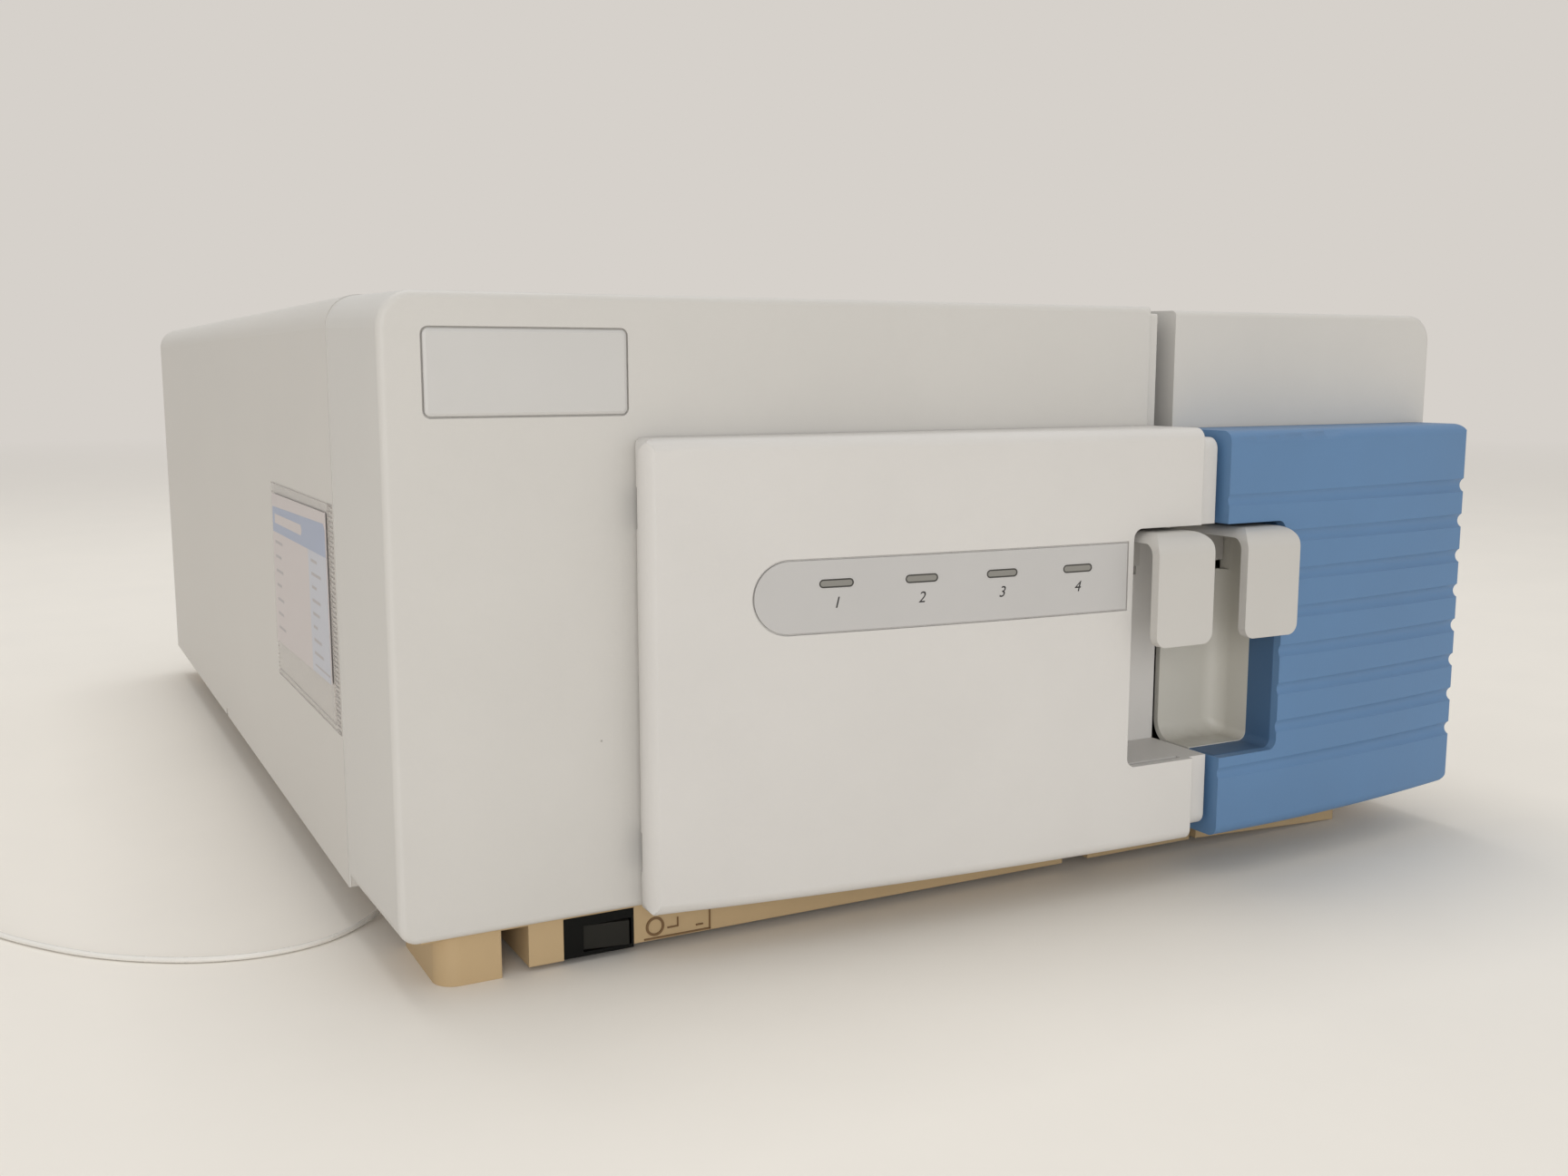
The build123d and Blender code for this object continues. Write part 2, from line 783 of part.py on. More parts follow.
def handle_cup():
    """The pale liner in the right door's notch, open to the front and to the seam."""
    back_y = scoop_back_y - cup_back_step
    keep = block(blue_left, case_width, ahead, -ahead, 0, above)
    outer = elevation(cup_outline(0), cup_front_y, back_y + cup_wall) & keep
    outer = fillet(back_corner(outer), cup_back_r)
    right, low = notch_right_x - cup_clearance, notch_bottom - cup_clearance
    outline = rect(blue_left - slab_margin, right, low, notch_top, notch_corner_r)
    hollow = elevation(outline, ahead, back_y)
    hollow = fillet(back_corner(hollow), cup_back_r - cup_wall)
    return outer - hollow - hook_slot(right_hook_x(), back_y, cup_back_r)


def left_hook_x():
    """Left side of the left hook."""
    return notch_left_x + left_hook_inset


def right_hook_x():
    """Left side of the right hook."""
    return notch_right_x - right_hook_inset - hook_width


def hook_slot(x0, wall_y, reach):
    """The shallow slot in the notch's back wall that takes a hook's root, cut from a reach ahead."""
    return block(
        x0 - hook_slot_side_gap,
        x0 + hook_width + hook_slot_side_gap,
        wall_y - reach,
        wall_y + hook_slot_depth,
        hook_root_bottom - hook_slot_tail,
        notch_top,
    )


def hook(x0, wall_y):
    """A finger hook: an upside-down J whose root hangs in the slot in the back wall."""
    root_y = wall_y + hook_slot_depth
    outline = rect(hook_front_y, root_y, hook_bottom, hook_top)
    outline = fillet(outline.vertices().group_by(Axis.Y)[-1].sort_by(Axis.X)[0], hook_bend_r)
    below = rect(hook_front_y + hook_thickness, root_y - hook_thickness, 0, hook_top - hook_thickness)
    below = fillet(below.vertices().group_by(Axis.Y)[-1].sort_by(Axis.X)[0], hook_bend_r - hook_thickness)
    outline -= below
    outline -= rect(hook_front_y + hook_thickness + 1, root_y + 1, 0, hook_root_bottom)
    plate = side(outline, x0, x0 + hook_width)
    front = rect(x0, x0 + hook_width, hook_bottom, hook_top)
    front = fillet(front.vertices().group_by(Axis.Y)[-1], hook_corner_r)
    front = fillet(front.vertices().group_by(Axis.Y)[0], hook_foot_corner_r)
    return plate & elevation(front, hook_front_y - 1, root_y + 1)


def strip_form(margin):
    """The status strip's body: a skin of the left door's face, round at its left end."""
    face = bowed(white_face_y, white_bow_r, 0, case_height, 1, -1)
    deep = white_face_y + strip_thickness
    face -= bowed(deep, white_bow_r - strip_thickness, -20, above, 1, -1)
    height = strip_height + 2 * margin
    low = strip_bottom - margin
    centre_x = strip_left + strip_height / 2
    outline = rect(centre_x, strip_right + margin, low, low + height)
    outline += Pos(centre_x, low + height / 2) * Circle(height / 2)
    return face & elevation(outline, ahead, 0)


def light_form(index, margin):
    """One light pipe: a slot-shaped bar from the strip's face back to the board."""
    x = light_first_x + index * light_pitch
    outline = Pos(x, light_z) * SlotOverall(light_width + 2 * margin, light_height + 2 * margin)
    bar = elevation(outline, ahead, white_face_y + light_length + 2)
    if margin > 0:
        return bar
    return bar & bowed(white_face_y, white_bow_r, 0, case_height, 1, -1) & block(
        0, case_width, ahead, status_board_y(), 0, case_height
    )


def status_board_y():
    """Front face of the small board behind the lights."""
    return white_face_y + light_length


def status_board_span():
    """Left and right ends of that board."""
    left = light_first_x - light_width / 2 - status_board_margin
    right = light_first_x + (light_count - 1) * light_pitch + light_width / 2 + status_board_margin
    return left, right


def status_posts():
    """Two posts inside the left door that carry the board."""
    left, right = status_board_span()
    posts = None
    for x in (left + post_r + 0.5, right - post_r - 0.5):
        start = bow_y(x, white_face_y, white_bow_r) + door_wall
        length = status_board_y() - start
        post = rod(x, start + length / 2, light_z, post_r, length, "y")
        posts = post if posts is None else posts + post
    return posts


def status_board():
    """The board that the four lights stand on."""
    left, right = status_board_span()
    half = status_board_height / 2
    y0 = status_board_y()
    return block(left, right, y0, y0 + status_board_thickness, light_z - half, light_z + half)


def status_strip():
    """The strip itself, with a slot for each light."""
    strip = strip_form(0)
    for index in range(light_count):
        strip -= light_form(index, light_clearance)
    return strip


# ------------------------------------------------------------------ hinges and catches
def hinge_bracket(pivot_x, way, bottom):
    """A bracket on the bezel's face whose arm reaches forward to the pin. way is 1 where the
    bracket's foot lies to the right of the pivot."""
    near = pivot_x + way * hinge_foot_offset
    far = near + way * hinge_foot_length
    foot = rect(min(near, far), max(near, far), -hinge_foot_thickness, 0)
    start = Vector(pivot_x, pivot_y)
    end = Vector(near + way * hinge_foot_length / 3, -hinge_arm_half)
    run = end - start
    middle = (start + end) * 0.5
    turn = math.degrees(math.atan2(run.Y, run.X))
    arm = Pos(middle.X, middle.Y) * Rot(0, 0, turn) * Rectangle(run.length, 2 * hinge_arm_half)
    boss = Pos(pivot_x, pivot_y) * Circle(hinge_boss_r)
    shape = (foot + arm + boss) - rect(0, case_width, 0, hinge_barrel_r)
    bracket = plan(shape, bottom, bottom + hinge_height)
    return bracket - rod(pivot_x, pivot_y, bottom, pin_r + pin_running_gap, 4 * hinge_height, "z")


def hinge_pins(pivot_x):
    """The two steel pins of one door."""
    length = hinge_height + 2 * (hinge_end_gap + hinge_rib)
    upper, lower = (
        rod(pivot_x, pivot_y, bottom + hinge_height / 2, pin_r, length, "z")
        for bottom in (hinge_top_z, hinge_bottom_z)
    )
    return Compound([upper.solid(), lower.solid()])


def catch_span(way):
    """Left and right ends of a door's catch, near the seam."""
    near = seam_x + way * catch_from_seam
    far = near + way * catch_length
    return min(near, far), max(near, far)


def catch_pocket(way):
    """The pocket in the bezel's face for a catch magnet."""
    x0, x1 = catch_span(way)
    return block(x0 - 0.1, x1 + 0.1, -1, catch_depth, catch_z - 0.1, catch_z + catch_height + 0.1)


def catch_magnet(way):
    """A catch magnet, let into the bezel's face."""
    x0, x1 = catch_span(way)
    return block(x0, x1, strike_face() + catch_air_gap, catch_depth, catch_z, catch_z + catch_height)


def strike_face():
    """Back face of the strike plates, level with the doors' backs."""
    return -door_back_gap


def catch_boss(way):
    """The rib inside a door that carries its strike plate."""
    x0, x1 = catch_span(way)
    face = strike_face() - strike_thickness
    top = catch_z + catch_height + 0.4
    return block(x0 - 1, x1 + 1, face - 14, face, catch_z - 1, top)


def strike_plate(way, margin=0.0):
    """The steel plate that a catch magnet holds, or its seat in the door if a margin is given."""
    x0, x1 = catch_span(way)
    face = strike_face()
    z0, z1 = catch_z - strike_overhang, catch_z + catch_height
    return block(
        x0 - margin, x1 + margin, face - strike_thickness, face + margin, z0 - margin, z1 + margin
    )


# ------------------------------------------------------------------ base and switch
def base_tray():
    """The moulded base: a floor, a broken front skirt, four feet and ribs below."""
    right = case_width - tray_inset
    body = block(tray_inset, right, tray_front, tray_back, tray_floor_z, tray_top)
    skirt_back = tray_front + skirt_thickness
    skirt_right = case_width - skirt_end
    spans = [
        (switch_right + switch_side_gap, skirt_gap_one),
        (skirt_gap_one + skirt_gap_one_width, skirt_gap_two),
    ]
    for x0, x1 in spans:
        body += block(x0, x1, tray_front, skirt_back, skirt_bottom, tray_floor_z)
    start = skirt_gap_two + skirt_gap_two_width
    toe = Polyline(
        (start, tray_floor_z), (start, skirt_bottom), (skirt_right, skirt_toe),
        (skirt_right, tray_floor_z), close=True,
    )
    body += elevation(make_face(toe), tray_front, skirt_back)
    body += block(
        block_left, block_left + block_width, tray_front, tray_front + block_depth,
        block_bottom, tray_floor_z,
    )
    foot_far = foot_inset + foot_width
    outline = rect(foot_inset, foot_far, tray_front, tray_front + foot_depth)
    outline = fillet(outline.vertices().sort_by_distance((foot_inset, tray_front, 0))[0], foot_corner_r)
    body += plan(outline, 0, tray_floor_z)
    body += block(
        skirt_right - foot_width, skirt_right, skirt_back - 1, tray_front + foot_depth, 0, tray_floor_z
    )
    for x0 in (foot_inset, case_width - foot_inset - foot_width):
        heel = rect(x0, x0 + foot_width, tray_back - foot_depth, tray_back, foot_corner_r)
        body += plan(heel, 0, tray_floor_z)
    for share in (0.3, 0.5, 0.7):
        x = case_width * share
        body += block(
            x, x + under_rib_thickness, skirt_back + 30, tray_back - 20,
            tray_floor_z - under_rib_height, tray_floor_z,
        )
    x, y = drain_stem()
    return body - rod(x, y, tray_floor_z, drain_spigot_r + 0.1, 20, "z")


def rocker_pivot():
    """X, Y and Z of the middle of the rocker's upright pivot."""
    return rocker_x, tray_front + rocker_pivot_depth, (switch_bottom + switch_top) / 2


def switch_body():
    """The switch's housing, a snug fit between the base's block and its skirt."""
    body = block(
        switch_left, switch_right, tray_front, tray_front + switch_depth, switch_bottom, switch_top
    )
    x, y, z = rocker_pivot()
    half = rocker_half + rocker_swing_gap
    body -= block(
        x - half, x + half, tray_front - 1, tray_front + switch_cavity_depth,
        switch_bottom + switch_foot_wall, switch_top - switch_head_wall,
    )
    return body - rod(x, y, z, trunnion_r + pin_running_gap, switch_height - 2 * trunnion_cap, "z")


def switch_rocker():
    """The flat-faced rocker, at rest with its right end standing forward."""
    x, y, z = rocker_pivot()
    half, narrow, tail = rocker_half, rocker_half - rocker_taper, rocker_tail_half
    front = -rocker_pivot_depth
    outline = Polyline(
        (-half, front), (half, front), (half, 0), (narrow, rocker_shoulder_y), (tail, rocker_tail_y),
        (-tail, rocker_tail_y), (-narrow, rocker_shoulder_y), (-half, 0), close=True,
    )
    low = switch_bottom + switch_foot_wall + rocker_side_gap
    high = switch_top - switch_head_wall - rocker_side_gap
    shape = plan(make_face(outline), low - z, high - z)
    shape += rod(0, 0, 0, trunnion_r, switch_height - 4 * trunnion_cap, "z")
    return Pos(x, y, z) * Rot(0, 0, -rocker_tilt) * shape


# ------------------------------------------------------------------ chassis and compartment
def lamp_axis():
    """X and Z of the lamp housing's light port."""
    return lamp_left + lamp_width / 2, lamp_bottom + lamp_height / 2


def cell_axis():
    """X and Z of the flow cell's light port."""
    return cell_mount_left + cell_mount_width / 2, cell_mount_bottom + cell_mount_height / 2


def compartment_panel():
    """The sheet bulkhead behind the compartment, with a foot and a head flange."""
    left, right = tray_inset + 0.5, case_width - tray_inset - 0.5
    outline = tombstone(left, right, tray_top, bulkhead_top, cover_corner_r - bezel_wall)
    sheet_face = elevation(outline, bulkhead_front, bulkhead_back)
    flange_back = bulkhead_front + panel_flange
    sheet_face += block(left, right, bulkhead_front, flange_back, tray_top, tray_top + sheet)
    sheet_face += block(
        left + 20, right - 20, bulkhead_front, flange_back, bulkhead_top - sheet, bulkhead_top
    )
    for x, z in (lamp_axis(), cell_axis()):
        sheet_face -= rod(x, bulkhead_front, z, light_hole_r, 4 * sheet, "y")
    return sheet_face


def drip_tray():
    """The leak tray along the bottom of the compartment, with a spout hole at its left end."""
    left, right = drip_left, case_width - drip_right
    y0, y1 = bezel_wall + drip_front_gap, bulkhead_front - drip_rear_gap
    outer = block(left, right, y0, y1, tray_top, tray_top + drip_height)
    inner = block(
        left + drip_wall, right - drip_wall, y0 + drip_wall, y1 - drip_wall,
        tray_top + drip_wall, tray_top + drip_height + 1,
    )
    return outer - inner - rod(left + 10, (y0 + y1) / 2, tray_top, 3, 20, "z")


def chassis_pan():
    """The folded steel pan on the base, with four board standoffs."""
    left, right = tray_inset + 0.5, case_width - tray_inset - 0.5
    back = rear_inner
    pan = block(left, right, pan_front, back, tray_top, tray_top + sheet)
    wall_top = tray_top + pan_wall_height
    pan += block(left, left + sheet, pan_front, back, tray_top, wall_top)
    pan += block(right - sheet, right, pan_front, back, tray_top, wall_top)
    for x in (board_left + 8, board_left + board_width - 8):
        for y in (board_front + 8, board_front + board_depth - 8):
            pan += rod(x, y, pan_top + standoff_height / 2, standoff_r, standoff_height, "z")
    x, y = drain_stem()
    return pan - rod(x, y, tray_top, drain_spigot_r + 0.4, 20, "z")


def flow_cell_mount():
    """The machined holder on the bulkhead: a plate with a rail above and below the cell."""
    x, z = cell_axis()
    y1 = bulkhead_front
    y0 = y1 - cell_mount_depth
    half_w, half_h = cell_mount_width / 2, cell_mount_height / 2
    body = elevation(rect(x - half_w, x + half_w, z - half_h, z + half_h, 4), y0, y1)
    for way in (-1, 1):
        near = z + way * (cell_height / 2 + 0.2)
        far = near + way * cell_mount_lip
        body += block(
            x - cell_width / 2, x + cell_width / 2, y0 - cell_mount_lip, y0, min(near, far), max(near, far)
        )
        body -= rod(x + way * (half_w - 8), y0, z - way * (half_h - 10), screw_shank_r + 0.2, 8, "y")
    return body - rod(x, y1, z, light_hole_r, 4 * cell_mount_depth, "y")


def flow_cell():
    """The flow cell: a block with a window and a threaded port at each side."""
    x, z = cell_axis()
    y1 = bulkhead_front - cell_mount_depth
    y0 = y1 - cell_depth
    half_w, half_h = cell_width / 2, cell_height / 2
    body = elevation(rect(x - half_w, x + half_w, z - half_h, z + half_h, 3), y0, y1)
    body = chamfer(body.faces().sort_by(Axis.Y)[0].edges(), 1.5)
    body += rod(x, y0 - 1.5, z, 11, 3, "y")
    body -= rod(x, y1, z, light_hole_r - 3, 12, "y")
    for way in (-1, 1):
        body -= rod(x + way * half_w, (y0 + y1) / 2, z, fitting_r - 1.8, 12, "x")
    return body


def cell_fitting(way):
    """A finger-tight fitting in the side of the flow cell. way is -1 on the left, 1 on the right."""
    x, z = cell_axis()
    y = bulkhead_front - cell_mount_depth - cell_depth / 2
    face = x + way * cell_width / 2
    head = rod(face + way * fitting_length / 2, y, z, fitting_r, fitting_length, "x")
    for index in range(6):
        turn = index * 60
        dy = fitting_flats_r * math.cos(math.radians(turn))
        dz = fitting_flats_r * math.sin(math.radians(turn))
        head -= rod(face + way * fitting_length / 2, y + dy, z + dz, 0.9, fitting_length + 2, "x")
    shank = rod(face - way * 2.5, y, z, fitting_r - 1.9, 5, "x")
    return head + shank - rod(face, y, z, tube_r, 4 * fitting_length, "x")


def captive_screw(x, face_y, z):
    """A knurled thumbscrew, its shank running back into its hole."""
    head = rod(x, face_y - screw_head_length / 2, z, screw_head_r, screw_head_length, "y")
    head = chamfer(head.edges().filter_by(GeomType.CIRCLE), 0.8)
    return head + rod(x, face_y + 1.5, z, screw_shank_r, 3, "y")


def captive_screws():
    """The flow cell's two thumbscrews."""
    x, z = cell_axis()
    face = bulkhead_front - cell_mount_depth
    reach = cell_mount_width / 2 - 8
    rise = cell_mount_height / 2 - 10
    pair = [captive_screw(x + way * reach, face, z - way * rise).solid() for way in (-1, 1)]
    return Compound(pair)


def lamp_housing():
    """The lamp house: an open-fronted cast box with cooling fins along its left side."""
    x1 = lamp_left + lamp_width
    y1 = bulkhead_front
    y0 = y1 - lamp_depth
    top = lamp_bottom + lamp_height
    body = block(lamp_left, x1, y0, y1, lamp_bottom, top)
    body -= block(
        lamp_left + lamp_wall, x1 - lamp_wall, y0 - 1, y1 - lamp_wall,
        lamp_bottom + lamp_wall, top - lamp_wall,
    )
    pitch = lamp_height / lamp_fin_count
    for index in range(lamp_fin_count):
        z = lamp_bottom + pitch * (index + 0.5)
        body += block(
            lamp_left - lamp_fin_height, lamp_left, y0, y1, z - lamp_fin_thickness / 2,
            z + lamp_fin_thickness / 2,
        )
    x, z = lamp_axis()
    return body - rod(x, y1, z, light_hole_r, 4 * lamp_wall, "y")


def lamp_cover():
    """The lamp house's cover plate, with louvre slots and a bent pull at its foot."""
    x, z = lamp_axis()
    y1 = bulkhead_front - lamp_depth
    y0 = y1 - lamp_cover_thickness
    half_w, half_h = lamp_width / 2, lamp_height / 2
    body = elevation(rect(x - half_w, x + half_w, z - half_h, z + half_h, 2), y0, y1)
    for index in range(louvre_count):
        slot_z = z + (index - (louvre_count - 1) / 2) * louvre_pitch
        body -= elevation(Pos(x, slot_z) * SlotOverall(louvre_width, louvre_height), y0 - 1, y1 + 1)
    return body + block(x - 9, x + 9, y0 - 7, y0, z - half_h + 6, z - half_h + 8)


def deuterium_lamp():
    """The ultraviolet lamp: a sealed bulb on a round collar, screwed to the house's back wall."""
    x, z = lamp_axis()
    y = bulkhead_front - lamp_wall - bulb_r - 2
    low = lamp_bottom + lamp_wall
    collar = rod(x, y, low + bulb_collar_thickness / 2, bulb_collar_r - 2, bulb_collar_thickness, "z")
    bulb = rod(x, y, low + bulb_collar_thickness + bulb_length / 2, bulb_r, bulb_length, "z")
    bulb = fillet(bulb.edges().group_by(Axis.Z)[-1], bulb_r - 3)
    return collar + bulb


def tungsten_lamp():
    """The visible lamp: a small bulb hanging from a collar at the top of the house."""
    x, z = lamp_axis()
    y = bulkhead_front - lamp_wall - bulb_r - 2
    high = lamp_bottom + lamp_height - lamp_wall
    collar = rod(x, y, high - 2, halogen_r + 3, 4, "z")
    bulb = rod(x, y, high - 4 - halogen_length / 2, halogen_r, halogen_length, "z")
    bulb = fillet(bulb.edges().group_by(Axis.Z)[0], halogen_r - 1)
    return collar + bulb


# ------------------------------------------------------------------ optics
def bench_floor_z():
    """Top of the optical bench's floor."""
    return pan_top + bench_leg_height + bench_floor


def optical_bench():
    """The cast optical bench: an open-topped tray on four legs, with a light port in its front."""
    z0 = pan_top + bench_leg_height
    outline = rect(bench_left, bench_left + bench_width, bench_front, bench_front + bench_depth, 12)
    body = plan(outline, z0, z0 + bench_height)
    inner = rect(
        bench_left + bench_wall, bench_left + bench_width - bench_wall,
        bench_front + bench_wall, bench_front + bench_depth - bench_wall, 12 - bench_wall,
    )
    body -= plan(inner, bench_floor_z(), z0 + bench_height + 1)
    reach = bench_leg_r + 8
    for x in (bench_left + reach, bench_left + bench_width - reach):
        for y in (bench_front + reach, bench_front + bench_depth - reach):
            body += rod(x, y, z0 - bench_leg_height / 2, bench_leg_r, bench_leg_height, "z")
    for x, z in (lamp_axis(), cell_axis()):
        body -= rod(x, bench_front, optic_z(), light_hole_r, 4 * bench_wall, "y")
    return body


def optic_z():
    """Height of the optical axis over the bench's floor."""
    return bench_floor_z() + optic_axis_height


def round_optic(x, y, turn, radius, thickness):
    """A round mirror or grating in a post mount, its face turned about the vertical."""
    z0 = bench_floor_z()
    base = block(-radius, radius, -radius / 2, radius / 2, z0, z0 + optic_base)
    post = block(-radius / 2, radius / 2, -4, 4, z0, optic_z())
    half, rim = thickness / 2, radius - 1
    section = make_face(
        [
            Line((0, half), (radius, half)),
            Line((radius, half), (radius, -half)),
            Line((radius, -half), (rim, -half)),
            ThreePointArc((rim, -half), (rim * 0.71, dish_depth * 0.5 - half), (0, dish_depth - half)),
            Line((0, dish_depth - half), (0, half)),
        ]
    )
    ring = Pos(0, 0, optic_z()) * revolve(section, Axis.Y)
    return Pos(x, y, 0) * Rot(0, 0, turn) * (base + post + ring)


def focusing_mirror():
    """The mirror that gathers the lamps' light into the cell."""
    x, z = lamp_axis()
    return round_optic(x, bench_front + bench_depth * 0.36, -24, mirror_r, mirror_thickness)


def concave_grating():
    """The concave grating that spreads the light over the diode array."""
    x, z = cell_axis()
    return round_optic(x, bench_front + bench_depth * 0.8, 12, grating_r, grating_thickness)


def entrance_slit():
    """The slit plate in its block, just behind the cell's light port."""
    x, z = cell_axis()
    y = bench_front + bench_wall + 16
    half = slit_plate_size / 2
    z0 = bench_floor_z()
    body = block(x - half, x + half, y, y + slit_plate_thickness, z0, optic_z() + half)
    body += block(x - half, x + half, y, y + slit_plate_thickness * 3, z0, z0 + optic_base)
    return body - block(x - 0.4, x + 0.4, y - 1, y + 10, optic_z() - 4, optic_z() + 4)


def diode_array():
    """The diode array on its upright board."""
    x, z = cell_axis()
    left = bench_left + bench_wall + 14
    y = bench_front + bench_depth * 0.36
    z0 = bench_floor_z()
    top = optic_z() + array_height / 2
    body = block(left, left + 6, y, y + array_width, z0, z0 + optic_base)
    body += block(left, left + 2, y, y + array_width, z0, top)
    middle = y + array_width / 2
    body += block(left + 2, left + 5, middle - 14, middle + 14, optic_z() - 5, optic_z() + 5)
    return body


# ------------------------------------------------------------------ electronics
def main_board():
    """The main board with its tall parts."""
    z0 = pan_top + standoff_height
    top = z0 + board_thickness
    body = block(board_left, board_left + board_width, board_front, board_front + board_depth, z0, top)
    for share_x, share_y, width, depth, height in (
        (0.30, 0.40, 30, 30, 3),
        (0.55, 0.30, 22, 22, 3),
        (0.62, 0.68, 26, 14, 9),
        (0.22, 0.72, 18, 12, 6),
        (0.85, 0.45, 12, 46, 11),
    ):
        x, y = board_left + board_width * share_x, board_front + board_depth * share_y
        body += block(x - width / 2, x + width / 2, y - depth / 2, y + depth / 2, top, top + height)
    return body


def power_supply():
    """The enclosed power supply, its lid drilled for air."""
    x1, y1 = supply_left + supply_width, supply_front + supply_depth
    top = pan_top + supply_height
    body = block(supply_left, x1, supply_front, y1, pan_top, top)
    body -= block(
        supply_left + supply_wall, x1 - supply_wall, supply_front + supply_wall, y1 - supply_wall,
        pan_top + supply_wall, top - supply_wall,
    )
    for column in range(5):
        for row in range(4):
            x = supply_left + supply_width * (column + 1) / 6
            y = supply_front + supply_depth * (row + 1) / 5
            body -= rod(x, y, top, 3.5, 4 * supply_wall, "z")
    return body


# ------------------------------------------------------------------ rear panel, fan and connectors
def connector_places():
    """X and Z of the middle of each signal connector."""
    return [(connector_x, network_z + index * connector_pitch) for index in range(connector_count)]


def rear_panel():
    """The rear panel, with a finger guard over the fan, vents and the connectors' cut-outs."""
    outline = tombstone(panel_left, panel_right, tray_top + 0.1, panel_top, cover_corner_r - 4)
    for index in range(grille_ring_count):
        inner = fan_bore_r - (grille_ring_count - index) * (grille_slot + grille_bar) + grille_bar
        ring = Circle(inner + grille_slot) - Circle(inner)
        for turn in (45, 135):
            ring -= Rot(0, 0, turn) * Rectangle(3 * fan_bore_r, grille_spoke)
        outline -= Pos(fan_x, fan_z) * ring
    for index in range(vent_count):
        x = vent_left + index * vent_pitch
        slot = Rot(0, 0, 90) * SlotOverall(vent_height, vent_width)
        outline -= Pos(x, vent_bottom + vent_height / 2) * slot
    half_w, half_h = inlet_width / 2 + 0.2, inlet_height / 2 + 0.2
    outline -= rect(inlet_x - half_w, inlet_x + half_w, inlet_z - half_h, inlet_z + half_h)
    half_w, half_h = network_width / 2 + 0.2, network_height / 2 + 0.2
    outline -= rect(network_x - half_w, network_x + half_w, network_z - half_h, network_z + half_h)
    half_w, half_h = connector_width / 2 + 0.2, connector_height / 2 + 0.2
    for x, z in connector_places():
        outline -= rect(x - half_w, x + half_w, z - half_h, z + half_h)
    return elevation(outline, rear_inner, rear_face)


def fan_frame():
    """The fan's square frame, with its motor seat on struts towards the panel."""
    y1 = rear_inner
    y0 = y1 - fan_thickness
    half = fan_size / 2
    body = elevation(rect(fan_x - half, fan_x + half, fan_z - half, fan_z + half, 4), y0, y1)
    body -= rod(fan_x, (y0 + y1) / 2, fan_z, fan_bore_r, 2 * fan_thickness, "y")
    seat_y = y1 - fan_motor_thickness
    seat = Circle(fan_hub_r)
    for turn in (0, 90):
        seat += Rot(0, 0, turn) * Rectangle(2 * fan_bore_r + 1, fan_strut)
    body += elevation(Pos(fan_x, fan_z) * seat, seat_y, y1)
    for dx in (-1, 1):
        for dz in (-1, 1):
            body -= rod(
                fan_x + dx * (half - 4.3), (y0 + y1) / 2, fan_z + dz * (half - 4.3), 2.1,
                2 * fan_thickness, "y",
            )
    return body - rod(fan_x, seat_y, fan_z, fan_shaft_r + pin_running_gap, 4, "y")


def fan_rotor():
    """The fan's rotor: a hub with swept blades and a stub shaft in the motor seat."""
    seat_y = rear_inner - fan_motor_thickness
    depth = fan_thickness - fan_motor_thickness - 2
    hub = rod(0, -depth / 2, 0, fan_hub_r, depth, "y")
    tip = fan_bore_r - fan_tip_gap
    blade_length = tip - fan_hub_r + 3
    blade = Pos(fan_hub_r - 3 + blade_length / 2, -depth / 2, 0) * Rot(fan_blade_pitch, 0, 0) * Box(
        blade_length, depth * 0.94, fan_blade_thickness
    )
    blades = hub
    for index in range(fan_blade_count):
        blades += Rot(0, index * 360 / fan_blade_count, 0) * blade
    blades &= rod(0, -depth / 2, 0, tip, depth, "y")
    blades += rod(0, 0.7, 0, fan_shaft_r, 2, "y")
    return Pos(fan_x, seat_y - 0.3, fan_z) * blades


def inlet_socket_z():
    """Middle height of the inlet's socket."""
    return inlet_z - inlet_height / 2 + inlet_socket_height / 2 + 4


def drawer_z():
    """Middle height of the fuse drawer."""
    return inlet_z + inlet_height / 2 - drawer_height / 2 - 4


def power_inlet():
    """The power inlet: flange, socket with three blades, and the fuse drawer's slot."""
    half_w, half_h = inlet_width / 2, inlet_height / 2
    y1 = rear_face + inlet_flange_thickness
    body = elevation(
        rect(inlet_x - half_w, inlet_x + half_w, inlet_z - half_h, inlet_z + half_h),
        rear_face - inlet_depth, rear_face,
    )
    grow = inlet_flange
    flange = rect(
        inlet_x - half_w - grow, inlet_x + half_w + grow, inlet_z - half_h - grow, inlet_z + half_h + grow, 3
    )
    body += elevation(flange, rear_face, y1)
    z = inlet_socket_z()
    half_s = inlet_socket_width / 2
    socket = rect(
        inlet_x - half_s, inlet_x + half_s, z - inlet_socket_height / 2, z + inlet_socket_height / 2
    )
    socket = chamfer(socket.vertices().group_by(Axis.Y)[-1], 4)
    body -= elevation(socket, y1 - inlet_socket_depth, y1 + 1)
    for dx, dz in ((-7, -2), (0, 2), (7, -2)):
        start = y1 - inlet_socket_depth
        body += block(
            inlet_x + dx - 1, inlet_x + dx + 1, start, start + inlet_blade_length, z + dz - 2, z + dz + 2
        )
    half_d = drawer_width / 2 + drawer_gap
    half_z = drawer_height / 2 + drawer_gap
    z = drawer_z()
    return body - block(
        inlet_x - half_d, inlet_x + half_d, y1 - drawer_depth - drawer_gap, y1 + 1, z - half_z, z + half_z
    )


